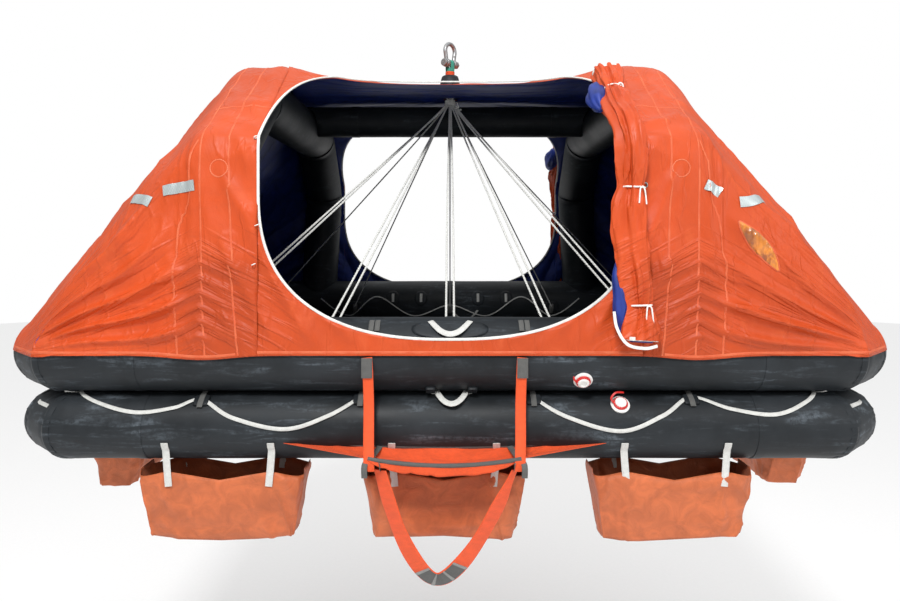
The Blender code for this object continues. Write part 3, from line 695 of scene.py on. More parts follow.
@finish_once
def pocket_finish(factor=1.0):
    """Thin unlined cloth of the water pockets, browner where it is damp; the inner face takes a darker copy of the
    cloth, which is painted shade.
    """
    colour = settings("cloth").pocket
    made, where, _ = start_finish(f"pocket_cloth_{factor * 100:.0f}", 0.6, sheen=0.08)
    crumple = where.noise(13.0, 6.0, 0.62, 0.8)
    damp = where.stretched(1.0, 1.0, 2.0).noise(4.0, 4.0, 0.6, 0.5)
    # Painted shade: a factor below 1 gives the darker copy that the inner face uses
    tone = crumple.step(0.3, 0.74).mix(tint(colour, 0.82 * factor), tint(colour, 1.18 * factor))
    return end_finish(made, damp.step(0.45, 0.75, 0.0, 0.3).mix(tone, tint(colour, 0.55 * factor)), crumple, 0.7, 0.012)


@finish_once
def window_finish():
    """Thin amber sheet, gathered, with painted shade: darker in its folds' hollows and in broad patches."""
    made, where, _ = start_finish("amber_window", 0.28, coat=0.3)
    fold = where.stretched(1.0, 1.0, 0.35).noise(26.0, 5.0, 0.6, 0.7)
    # Painted shade: the amber darkens where the folds' height is low, and in broad patches
    tone = fold.step(0.35, 0.65).mix((0.30, 0.075, 0.012, 1.0), (0.80, 0.27, 0.030, 1.0))
    shaded_amber = where.noise(7.0, 3.0).step(0.42, 0.62, 0.0, 0.6).mix(tone, (0.22, 0.075, 0.03, 1.0))
    return end_finish(made, shaded_amber, fold, 0.7, 0.006)


@finish_once
def lining_finish():
    """Blue inner coating of the canopy."""
    colour = settings("cloth").lining
    made, where, _ = start_finish("canopy_lining", 0.55)
    crumple = where.noise(11.0, 5.0, 0.6, 0.6)
    return end_finish(made, crumple.step(0.3, 0.72).mix(tint(colour, 0.7), tint(colour, 1.25)), crumple, 0.3, 0.003)


@finish_once
def webbing_finish(name):
    """Woven strap: a herringbone-like weave across, long threads along, a little grime."""
    slot, which, factor, grime = WEBBINGS[name]
    colour = getattr(settings("webbing"), which)
    made, where, flat = start_finish(name, 0.72, sheen=0.05)
    threads = flat.group("weave", weave, Threads=1900.0)[0]
    tone = threads.step(0.1, 0.9).mix(tint(colour, 0.72 * factor), tint(colour, 1.08 * factor))
    dirty = where.noise(9.0, 5.0, 0.65).step(0.52, 0.8, 0.0, grime).mix(tone, tint(colour, 0.35 * factor))
    return end_finish(made, dirty, threads, 0.6, 0.0008)


@finish_once
def stitched_finish(width):
    """A felled seam: a doubled strip of cloth with a row of pale stitches near each edge."""
    made, where, flat = start_finish(f"stitched_seam_{width * 1000:.0f}", 0.6)
    across, along, _ = flat.split()
    row = abs(across - width / 2).between(width * 0.24, width * 0.36, width * 0.05)
    on = (along * (2 * pi / STITCH_LENGTH)).math("SINE").step(-0.5, -0.2) * row
    strip = where.noise(18.0, 4.0).step(0.3, 0.7).mix(tint(settings("cloth").colour), (0.62, 0.12, 0.04, 1.0))
    return end_finish(made, on.mix(strip, (0.80, 0.34, 0.20, 1.0)), on, 0.5, 0.001)


@finish_once
def rope_finish():
    """Pale laid rope: fine fibres along the strands, greyer in places."""
    colour = settings("webbing").pale
    made, where, _ = start_finish("laid_rope", 0.8, sheen=0.2)
    fibre = where.stretched(1.0, 1.0, 0.3).noise(260.0, 4.0, 0.6)
    tone = fibre.step(0.3, 0.7).mix(tint(colour, 0.95), tint(colour, 1.4))
    dirty = where.noise(7.0, 5.0, 0.65).step(0.5, 0.8, 0.0, 0.4).mix(tone, tint(colour, 0.55))
    return end_finish(made, dirty, fibre, 0.4, 0.0006)


@finish_once
def galvanised_finish():
    """Hot-dip galvanised steel: dull grey spangles, rougher where handled."""
    made, where, _ = start_finish("galvanised_steel", 0.45, metallic=0.9)
    spangle = where.node("ShaderNodeTexVoronoi", {"Vector": where, "Scale": 150.0}, "Distance")
    cloud = where.noise(40.0, 5.0, 0.65)
    tone = spangle.step(0.1, 0.7).mix((0.50, 0.51, 0.51, 1.0), (0.33, 0.34, 0.35, 1.0))
    dull = cloud.step(0.45, 0.7, 0.0, 0.7).mix(tone, (0.20, 0.18, 0.15, 1.0))
    return end_finish(made, dull, cloud, 0.35, 0.001, cloud.step(0.3, 0.7, 0.36, 0.62))


def plain_finish(name, colour, roughness, metallic=0.0, coat=0.0, scale=30.0, contrast=0.18, relief=0.25):
    """A moulded or painted surface whose tone, gloss and grain vary a little."""
    made, where, _ = start_finish(name, roughness, metallic, coat)
    blotch = where.noise(scale, 5.0, 0.6)
    tone = blotch.step(0.3, 0.7).mix(tint(colour, 1 - contrast), tint(colour, 1 + contrast))
    return end_finish(made, tone, where.noise(scale * 9, 3.0), relief, 0.0006,
                      blotch.step(0.3, 0.7, roughness - 0.07, roughness + 0.09))


@finish_once
def tape_finish():
    """Silver retro-reflective tape, printed with a fine diamond grid and slightly creased."""
    made, where, flat = start_finish("reflective_tape", 0.32, metallic=0.45)
    across, along, _ = flat.split()
    right, left = [((across + along * sign) * (2 * pi / 0.011)).math("SINE") for sign in (1.0, -1.0)]
    mask = right.math("MAXIMUM", left).step(0.90, 0.99)
    tone = mask.mix((0.50, 0.56, 0.56, 1.0), (0.30, 0.34, 0.35, 1.0))
    worn = where.noise(24.0, 4.0).step(0.5, 0.8, 0.0, 0.4).mix(tone, (0.66, 0.70, 0.68, 1.0))
    return end_finish(made, worn, mask, 0.3, 0.0005)


# Outlines shared by several pieces
def mitre_cut(grow):
    """How far a mitred ring's corner is cut back once the ring has grown."""
    return TUBE_MITRE + grow * (2 - sqrt(2))


def tube_outline(half_x, height):
    """The mitred rectangle that a tube follows, from its far right corner and anticlockwise."""
    x, y, cut = half_x, TUBE_Y, TUBE_MITRE
    corners = ((x - cut, y), (-x + cut, y), (-x, y - cut), (-x, -y + cut),
               (-x + cut, -y), (x - cut, -y), (x, -y + cut), (x, y - cut))
    return [lift(*corner, height) for corner in corners]


def arch_x(height):
    return ARCH_FOOT_X - ARCH_LEAN * (height - ARCH_FOOT)


def arch_profile(cover):
    """Half of the canopy's outline over an arch, from skirt to top, as (distance from centre, height)."""
    shoulder = atan2(TUBE_Y - ARCH_TOP_HALF, ARCH_TOP - ARCH_ELBOW)
    elbow = ARCH_ELBOW + cover * tan(shoulder / 2)
    top_y = ARCH_TOP_HALF + cover * tan((pi / 2 - shoulder) / 2)
    return (TUBE_Y + SKIRT_OUT, SKIRT), (TUBE_Y + COVER, SKIRT_TOP), (TUBE_Y + cover, elbow), (top_y, ARCH_TOP + cover)


PROFILE = arch_profile(COVER)


def both_sides(half):
    """A line from the near skirt to the far one, from half of it given as (x, y, height)."""
    return [lift(x, -y, h) for x, y, h in half] + [lift(x, y, h) for x, y, h in half][::-1]


def arch_line(degrees):
    """A line over the right-hand arch, that many degrees round to its outer side."""
    out = COVER * sin(radians(degrees))
    half = []
    for y, height in arch_profile(COVER * cos(radians(degrees))):
        rise = out * ARCH_LEAN if height > SKIRT_TOP else 0.0
        half.append((arch_x(height) + out, y, height + rise))
    return both_sides(half)


def end_line(grows, heights, shifts):
    """A line round the raft's end over the upper tube, matched point for point to an arch line."""
    half = [(UPPER_X + grow - mitre_cut(grow) - shift, TUBE_Y + grow, height)
            for grow, height, shift in zip(grows, heights, shifts)]
    half[-1] = (UPPER_X + grows[-1], TUBE_Y + grows[-1] - mitre_cut(grows[-1]), heights[-1])
    return both_sides(half)


def hem_line(height):
    return end_line((SKIRT_OUT,) * 4, (height,) * 4, (0.05, 0.03, 0, 0))


def end_rows():
    """Lines of the right-hand end, from the doorways' side over the arch and down to the hem."""
    near = [lift(DOORWAY_X[-1], -y, h) for y, h in PROFILE]
    far = [lift(DOORWAY_X[1], y, h) for y, h in PROFILE]
    rows = [near + far[::-1]] + [arch_line(degrees) for degrees in COVER_ANGLES]
    base = end_line((SKIRT_OUT, 0.150, 0.147, 0.147), (SKIRT, 0.55, 0.56, 0.56), (0.08, 0.03, 0, 0))
    return rows + [[a.lerp(b, 0.5) for a, b in zip(rows[-1], base)], base, hem_line(SKIRT - 0.005)]


def knots_of(points):
    """Share of the length at each point of a line."""
    lengths = [0.0]
    for a, b in zip(points, points[1:]):
        lengths.append(lengths[-1] + (b - a).length)
    return [value / lengths[-1] for value in lengths]


def rounded_at(points, knots, share, ease):
    """A point on a line of straight runs, with each corner rounded over the given share."""
    for k in range(1, len(points) - 1):
        before, after = knots[k] - knots[k - 1], knots[k + 1] - knots[k]
        room = min(ease, before * 0.48, after * 0.48)
        if abs(share - knots[k]) < room:
            t = (share - knots[k] + room) / (2 * room)
            start = points[k].lerp(points[k - 1], room / before)
            end = points[k].lerp(points[k + 1], room / after)
            return start * (1 - t) ** 2 + points[k] * 2 * t * (1 - t) + end * t * t
    k = next((k for k in range(len(points) - 2) if share <= knots[k + 1]), len(points) - 2)
    return points[k].lerp(points[k + 1], (share - knots[k]) / (knots[k + 1] - knots[k]))


def rounded(points, count, ease):
    """Evenly spaced points on a line of straight runs with rounded corners."""
    knots = knots_of(points)
    return [rounded_at(points, knots, k / count, ease) for k in range(count + 1)]


class EndSurface:
    """The right-hand end of the canopy as a smooth surface of (u, v): u from near skirt to far, v outwards."""

    def __init__(self):
        self.rows = end_rows()
        self.across = knots_of(self.rows[1])
        self.along = knots_of([row[2].lerp(row[3], 0.5) for row in self.rows])
        self.store = {}

    def point(self, u, v):
        if u not in self.store:
            self.store[u] = [rounded_at(row, self.across, u, ease) for row, ease in zip(self.rows, HIP_EASES)]
        return rounded_at(self.store[u], self.along, v, 0.03)


def door_sill(x, half):
    """Height of a doorway's lower edge at a distance from its middle."""
    share = min(abs(x) / half, 1.0)
    return DOOR_MIDDLE - (DOOR_MIDDLE - DOOR_SILL) * (1 - share ** DOOR_POWER) ** (1 / DOOR_POWER)


def wall_y(height):
    """Distance from the centre plane to the canopy's side at a height."""
    skirt, top, elbow, crest = PROFILE
    if height >= elbow[1]:
        return elbow[0] + (crest[0] - elbow[0]) * (height - elbow[1]) / (crest[1] - elbow[1])
    if height >= top[1]:
        return top[0]
    return skirt[0] + (top[0] - skirt[0]) * (height - skirt[1]) / (top[1] - skirt[1])


def doorway_x(y):
    """Half the distance between the canopy's two ends at a place across the roof."""
    share = clamp(y / PROFILE[3][0], -1.0)
    return (DOORWAY_X[-1] + DOORWAY_X[1]) / 2 + (DOORWAY_X[1] - DOORWAY_X[-1]) / 2 * share


def roof_edge(share):
    """Distance from the centre plane to the roof's edge, from the doorway's middle (0) to its side (1)."""
    elbow_y = PROFILE[2][0] - 0.05
    return elbow_y - (elbow_y - ROOF_EDGE_Y) * (1 - abs(share) ** ROOF_EDGE_POWER) ** (1 / ROOF_EDGE_POWER)


def over_arch(y):
    """Height of the canopy over an arch."""
    elbow, top = PROFILE[2:]
    if y <= top[0]:
        return top[1]
    return elbow[1] + (top[1] - elbow[1]) * (elbow[0] - y) / (elbow[0] - top[0])


def roof_point(share, y):
    """The roof falls from its crest over the ridge to the doorways, and meets the arches' covers at its sides."""
    crest = ARCH_TOP + COVER + 0.008
    reach = ROOF_EDGE_Y - copysign(RIDGE_Y, y - RIDGE_Y)
    middle = crest - (crest - ROOF_EDGE_HEIGHT) * min(1.0, abs(y - RIDGE_Y) / reach)
    middle -= ROOF_FALL * max(0.0, abs(y) - ROOF_EDGE_Y)
    blend = abs(share) ** 3
    return lift(share * doorway_x(y), y, middle * (1 - blend) + over_arch(abs(y)) * blend)


def door_outline(side):
    """The doorway's edge as a closed line, from the middle of the sill and round."""
    edge = DOORWAY_X[side]
    spread = [sin(radians(90 * i / 40)) for i in range(41)]
    sills = [(s * edge, door_sill(s * edge, edge)) for s in spread]
    right = [lift(x, side * wall_y(h), h) for x, h in sills]
    elbow_y, elbow_h = PROFILE[2]
    right += [lift(edge, side * elbow_y, elbow_h - gap) for gap in (0.15, 0.10, 0.05)]
    right.append(lift(edge, side * (elbow_y - 0.008), elbow_h + 0.004))
    right += [roof_point(s, side * roof_edge(s)) for s in reversed(spread)]
    line = right + [Vector((-p.x, p.y, p.z)) for p in right][::-1][1:-1]
    return even_path(line + line[:1], 0.012, closed=True)


# Surfaces that seams, tapes and patches are laid on
SURFACES = {}


def outward(spot, way):
    """The given way, or its opposite, whichever leads out of the raft."""
    return -way if way.dot(spot - lift(spot.x * 0.5, spot.y * 0.5, 1.0)) < 0 else way


def laid_on(name, points, rise):
    """The points moved onto a kept surface, and the surface's outward way at each."""
    found = [SURFACES[name].find_nearest(point)[:2] for point in points]
    ways = [outward(*entry) for entry in found]
    return [spot + way * rise for (spot, _), way in zip(found, ways)], ways


def laid_strap(name, points, width, thickness=0.0016, rise=0.0004, gap=0.012, sides=6):
    """A strap or seam that follows a kept surface."""
    path, ways = laid_on(name, smooth_path(points, gap), rise)
    return strap(path, width, thickness, ways, sides=sides)


def seen(name, across, down):
    """The place on a kept surface that the photograph shows at a pixel."""
    way = Vector(((across - PHOTO_MIDDLE) / PHOTO_SCALE, 1, (PHOTO_LEVEL - down) / PHOTO_SCALE))
    spot = SURFACES[name].ray_cast(lift(*EYE), way)[0]
    return spot or SURFACES[name].find_nearest(lift(*EYE) + way * 3.15)[0]


def tube_at(height):
    """The axis and radius of the tube whose side is at a height."""
    return (UPPER_AXIS, UPPER_RADIUS) if height > LOWER_RADIUS * 2 else (LOWER_AXIS, LOWER_RADIUS)


def tube_face(x, height, out, side, inner=False):
    """A place on the side of the stacked tubes and its outward way; the tubes' axes run along X here."""
    axis, radius = tube_at(height)
    slope = asin(clamp((height - axis) / radius, -1.0))
    way = Vector((0, (-side if inner else side) * cos(slope), sin(slope)))
    return lift(x, side * TUBE_Y, axis) + way * (radius + out), way


def tube_line(places, width, thickness, out, side=-1, inner=False, gap=0.012):
    """Webbing that follows the side of the tubes through (x, height) places."""
    flat = smooth_path([(x, h, 0) for x, h in places], gap)
    found = [tube_face(p.x, p.y, out, side, inner) for p in flat]
    return strap([spot for spot, _ in found], width, thickness, [way for _, way in found])


def tube_patch(x, height, half_x, half_round, side=-1, inner=False, power=2.0, out=0.0022):
    """A bonded patch on a tube: 2 gives an oval, more a rounded rectangle, 1 a lozenge."""
    way = tube_face(x, height, 0.0, side, inner)[1]
    axis, radius = tube_at(height)
    centre = lift(x, side * TUBE_Y, axis)
    start = atan2(way.z, way.y)

    def place(u, v):
        angle = 2 * pi * u
        turn = start + boxed(sin(angle), 2 / power) * half_round * (1 - v) / radius
        here = radius + (out if v > 0.02 else -0.0005)
        return centre + Vector((boxed(cos(angle), 2 / power) * half_x * (1 - v), *polar(here, turn)))

    return loop_grid(40, 8, place, (4 * half_x, half_x), round_across=True)


def fabric(name, builder, replaces):
    """A canopy sheet with its lining, kept for what is sewn on it."""
    builder.normal_update()
    if sum(face.normal.dot(face.calc_center_median() - lift(0, 0, 1.0)) for face in builder.faces) < 0:
        bmesh.ops.reverse_faces(builder, faces=builder.faces)
    piece = make_piece(name, builder, [canopy_finish(), lining_finish()], replaces, smooth=80)
    SURFACES[name.removesuffix("_cloth")] = BVHTree.FromObject(piece, bpy.context.evaluated_depsgraph_get())
    thicken(piece, 0.0018, lining=True)


# Folds
def fold_wave(phase, sharp=1.6):
    """Folds with creased crests and broad valleys, between 0 and 1."""
    return (1 - abs(sin(pi * phase))) ** sharp * 0.5 + (0.5 + 0.5 * cos(2 * pi * phase)) ** sharp * 0.5


def canopy_folds(point, seed):
    """How far the canopy's cloth stands off its smooth shape. It depends on the place alone, so that panels meet."""
    x = abs(point.x)
    y = abs(point.y)
    h = point.z - BASE
    side = smooth(y, 1.15, 1.42)
    sleeve = abs(x - MAIN_SEAM)

    # Long folds fan out from the tube's corner up to the arch
    run = hypot(1.90 - x, h - 0.46)
    turn = atan2(h - 0.46, 1.92 - x) + 0.10 * ripple(point, 0.5, seed)
    fan = fold_wave(turn / 0.155 + seed) * smooth(run, 0.10, 0.40) * smooth(run, 1.00, 0.70)
    strength = 0.55 + 0.9 * max(0.0, ripple((turn * 2.2, run * 0.5, y), 0.4, seed + 9) + 0.3)
    off = 1.9 * fan * strength * smooth(turn, 1.05, 0.7) * smooth(y, 0.55, 1.2) * smooth(x, 1.08, 1.2)

    # Pleats where the doubled sleeve is drawn down to the tube, and drapes above them
    pleat = fold_wave((h + 0.5 * sleeve + 0.012 * ripple(point, 0.15, seed)) / 0.062)
    off += 0.75 * pleat * side * exp(-(sleeve / 0.12) ** 2) * smooth(h, 0.49, 0.56) * smooth(h, 0.98, 0.80)
    drape = fold_wave((x + 0.03 * ripple(point, 0.3, seed + 3)) / 0.055)
    off += 0.40 * drape * side * smooth(x, 1.05, 1.08) * smooth(x, 1.19, 1.15) * smooth(h, 0.85, 1.0) * smooth(h, 1.42, 1.30)

    # Diagonal folds between the arch and the doorway, and others round its upper corner
    slant = (x * 0.85 - h * 0.45 + 0.02 * ripple(point, 0.25, seed + 1)) / 0.13
    off += 0.85 * fold_wave(slant) * side * smooth(x, 0.99, 0.93) * smooth(h, 0.50, 0.62) * smooth(h, 1.5, 1.3)
    corner = atan2(h - 1.40, x - 0.74) + 0.2 * ripple(point, 0.2, seed + 2)
    near_corner = exp(-(hypot(x - 0.86, (h - 1.52) * 0.8) / 0.17) ** 2)
    off += 0.5 * fold_wave(corner / 0.42) * near_corner * smooth(y, 0.7, 0.95)

    # Soft waves that run down the end's slope, broad unevenness and a little crumpling
    slope = smooth(x, 1.17, 1.30)
    fall = ridge(ripple((point.y * 1.3 + 0.35 * x, x * 0.35, h * 0.3), 0.30, seed + 4))
    off += slope * (0.9 * fall * smooth(y, 1.45, 1.2) + 1.3 * ripple(point, 0.50, seed + 5))
    off += 0.35 * ripple((point.x, point.y, h * 0.6), 0.20, seed + 6) + 0.10 * ripple(point, 0.07, seed + 7)
    off += 0.5 * ridge(ripple((point.x * 0.9, point.y, h * 0.45), 0.24, seed + 8)) * smooth(h, 0.6, 0.9)
    return settings("cloth").fold_depth * off


def hem_dip(point):
    """The hem is drawn down a little at the arches' feet."""
    reach = exp(-((abs(point.x) - 1.04) / 0.16) ** 2)
    return 0.018 * reach * smooth(point.z - BASE, 0.56, SKIRT) * smooth(abs(point.y), 1.2, 1.4)


# Tubes
def tube_rings(half_x, radius, height, gap):
    """A mitred ring tube's places on a closed grid, with extra rings near each mitre."""
    corners = tube_outline(half_x, height)
    ahead = corners[1:] + corners[:1]
    ways = [(b - a).normalized() for a, b in zip(corners, ahead)]
    mitres = [(ways[i] + ways[i - 1]).normalized() for i in range(8)]
    room = tan(radians(22.5)) * radius
    stations = []
    for i, corner in enumerate(corners):
        length = (ahead[i] - corner).length
        steps = max(4, round(length / gap))
        for k in range(steps):
            away = min(k, steps - k) / steps * length
            near = mitres[i] if k < steps / 2 else mitres[(i + 1) % 8]
            way = ways[i].lerp(near, max(0.0, 1 - away / room)).normalized() if k else mitres[i]
            stations.append((corner + ways[i] * length * k / steps, way, 1 / way.dot(ways[i])))

    def place(u, v):
        point, along, stretch = stations[round(v * len(stations)) % len(stations)]
        angle = 2 * pi * (u % 1.0)
        here = radius + pucker(point, angle, corners) - SHRINK
        return point - UP.cross(along) * cos(angle) * stretch * here + UP * sin(angle) * here

    return loop_grid(64, len(stations), place, (2 * pi * radius, length_of(corners + corners[:1])),
                     round_across=True, round_along=True)


def ring_band(half_x, radius, height, corner_index, width, share=None):
    """A tape round a tube: at a mitre, or part of the way along the run that follows it."""
    corners = tube_outline(half_x, height)
    centre = corners[corner_index]
    ahead = corners[(corner_index + 1) % 8] - centre
    before = after = along = ahead.normalized()
    if share is None:
        before = (centre - corners[corner_index - 1]).normalized()
        along = (before + after).normalized()
    else:
        centre = centre + ahead * share
    stretch = 1 / along.dot(after)
    across = UP.cross(along)
    spots = [before * -width / 2, before * -width / 4, Vector(), after * width / 4, after * width / 2]
    offsets = [(spots[0], 0.0)] + [(spot, TAPE_RISE) for spot in spots] + [(spots[-1], 0.0)]

    def place(u, v):
        offset, rise = offsets[round(v * 6)]
        angle = 2 * pi * u
        here = radius + rise
        return centre + offset - across * cos(angle) * stretch * here + UP * sin(angle) * here

    return loop_grid(64, 6, place, (2 * pi * radius, width), round_across=True)


def clear_of_tube(point):
    """The point, moved out to the upper tube's skin if it is inside it."""
    corners = tube_outline(UPPER_X, UPPER_AXIS)
    found = []
    for a, b in zip(corners, corners[1:] + corners[:1]):
        run = b - a
        share = (point - a).dot(run) / run.length_squared
        found.append(((point - (a + run * clamp(share))).length, point - (a + run * share)))
    nearest = sorted(found, key=lambda entry: entry[0])[:2]
    off = max((entry[1] for entry in nearest if entry[0] < nearest[0][0] + 0.001), key=lambda way: way.length)
    short = UPPER_RADIUS + 0.006 - off.length
    return point + off.normalized() * short if short > 0 else point


def pucker(point, angle, corners):
    """Small radial creases in a tube's skin near a mitre, and faint unevenness elsewhere."""
    nearest = min((point - corner).length for corner in corners)
    inside = max(0.0, cos(angle)) * 0.7 + 0.3
    round_it = Vector((cos(angle), sin(angle), 0))
    crease = ridge(ripple(round_it * 0.9 + UP * nearest * 2, 0.16)) * exp(-nearest / 0.14) * 0.005 * inside
    return crease + 0.0014 * ripple(point + round_it * 0.2, 0.35)


def saddle(y):
    """Height of the upper tube's top at a distance from the centre plane, for an arch's foot to sit on."""
    away = min(abs(abs(y) - TUBE_Y), UPPER_RADIUS * 0.98)
    return UPPER_AXIS + sqrt(UPPER_RADIUS ** 2 - away ** 2) + SHRINK


class RAFT_OT_tubes(bpy.types.Operator):
    """Build the buoyancy tubes, their tapes and the floor"""
    bl_idname = "raft.tubes"
    bl_label = "Buoyancy tubes"

    def execute(self, context):
        width = settings("rubber").tape_width
        bands = []
        for name, *ring in (("upper_tube", UPPER_X, UPPER_RADIUS, UPPER_AXIS), ("lower_tube", LOWER_X, LOWER_RADIUS, LOWER_AXIS)):
            make_piece(name + "_skin", tube_rings(*ring, 0.04), rubber_finish(1.0), name, smooth=80)
            bands += [ring_band(*ring, corner, width) for corner in range(8)]
            for corner, share in ((0, 0.10), (0, 0.5), (0, 0.9), (4, 0.10), (4, 0.5), (4, 0.9), (2, 0.5), (6, 0.5)):
                bands.append(ring_band(*ring, corner, width * 0.9, share))
        make_piece("tube_tapes", bands, rubber_finish(1.5))
        self.floor()
        return {"FINISHED"}

    def floor(self):
        """The double floor: two skins tied together along rows, so it swells between them."""
        low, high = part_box("floor")
        middle = (low.z + high.z) / 2
        tie_gap = 0.30

        def skin(sign):
            def place(u, v):
                x = (u * 2 - 1) * high.x
                y = (v * 2 - 1) * high.y
                ties = abs(sin(pi * x / tie_gap)) * abs(sin(pi * y / tie_gap))
                rim = clamp(min((high.x - abs(x)) / 0.05, (high.y - abs(y)) / 0.05))
                return Vector((x, y, middle + sign * sqrt(rim) * (0.012 + 0.014 * ties ** 0.5)))
            return loop_grid(140, 100, place, (2 * high.x, 2 * high.y))

        floor = join([skin(1), skin(-1)])
        bmesh.ops.remove_doubles(floor, verts=[v for v in floor.verts if v.is_boundary], dist=1e-4)
        bmesh.ops.recalc_face_normals(floor, faces=floor.faces)
        make_piece("floor_skins", floor, rubber_finish(0.6), "floor", smooth=80)


def uneven(radius, angle, distance, shift=0.0):
    """An inflated tube's radius, with its faint bumps."""
    return radius - SHRINK + 0.0015 * ripple((*polar(1, angle), distance * 2 + shift), 0.5)


class RAFT_OT_arches(bpy.types.Operator):
    """Build the two arch tubes, the ridge tube and their tapes"""
    bl_idname = "raft.arches"
    bl_label = "Arches and ridge"

    def execute(self, context):
        tapes = []
        width = settings("rubber").tape_width
        half = ((TUBE_Y, 0.60), (TUBE_Y, ARCH_ELBOW), (ARCH_TOP_HALF, ARCH_TOP))
        for side, word in LEFT_RIGHT:
            corners = both_sides([(side * arch_x(h), y, h) for y, h in half])
            marks = knots_of(corners)[1:5]
            points = rounded(corners, 160, 0.022)
            make_piece(f"arch_{word}_skin", self.arch(points, marks, side), rubber_finish(0.45), "arch_" + word, smooth=80)
            for mark in marks + [0.06, 0.13, 0.87, 0.94]:
                at = round(mark * 160)
                ring = even_path(points[at - 3:at + 4], width / 6)
                middle = len(ring) // 2
                tapes.append(cord(ring[middle - 3:middle + 4], ARCH_RADIUS + TAPE_RISE, 48,
                                  points[at] - lift(points[at].x, 0, 1.0)))
        make_piece("ridge_skin", self.ridge_tube(), rubber_finish(0.45), "ridge_tube", smooth=80)
        for x in (-0.62, 0.68):
            ring = [lift(x + width * (k / 6 - 0.5), RIDGE_Y, RIDGE_HEIGHT) for k in range(7)]
            tapes.append(cord(ring, RIDGE_RADIUS + TAPE_RISE, 48))
        make_piece("arch_tapes", tapes, rubber_finish(1.1))
        return {"FINISHED"}

    def arch(self, points, marks, side):
        total = length_of(points)

        def section(angle, distance):
            bend = min(abs(distance - mark * total) for mark in marks)
            inner = max(0.0, -sin(angle))
            pinch = inner * 0.012 * exp(-(bend / 0.09) ** 2) * (0.4 + 0.6 * abs(sin(distance * 70)))
            return polar(uneven(ARCH_RADIUS, angle, distance, side) - pinch, angle)

        skin = sweep(points, section, 48, [p - lift(p.x, 0, 1.0) for p in points])
        foot = min(point.co.z for point in skin.verts)
        for point in skin.verts:
            if point.co.z < foot + 0.03:
                point.co.z = saddle(point.co.y) + BASE
        return skin

    def ridge_tube(self):
        inner = arch_x(RIDGE_HEIGHT) - ARCH_RADIUS
        points = [lift(-inner + 2 * inner * k / 60, RIDGE_Y, RIDGE_HEIGHT) for k in range(61)]

        def section(angle, distance):
            near_end = min(distance, 2 * inner - distance)
            return polar(uneven(RIDGE_RADIUS, angle, distance) - 0.004 * exp(-near_end / 0.03) * abs(sin(angle * 7)), angle)

        skin = sweep(points, section, 48)
        for point in skin.verts:
            if abs(abs(point.co.x) - inner) < 1e-4:
                away = min(abs(point.co.z - lift(0, 0, ARCH_TOP).z), ARCH_RADIUS * 0.97)
                reach = arch_x(point.co.z - BASE) - sqrt(ARCH_RADIUS ** 2 - away ** 2) - SHRINK
                point.co.x = copysign(reach, point.co.x)
        return skin


def free_share(height):
    """How freely the canopy's cloth folds, from the hem upwards."""
    return 0.2 + 0.8 * smooth(height, SKIRT, SKIRT + 0.07)


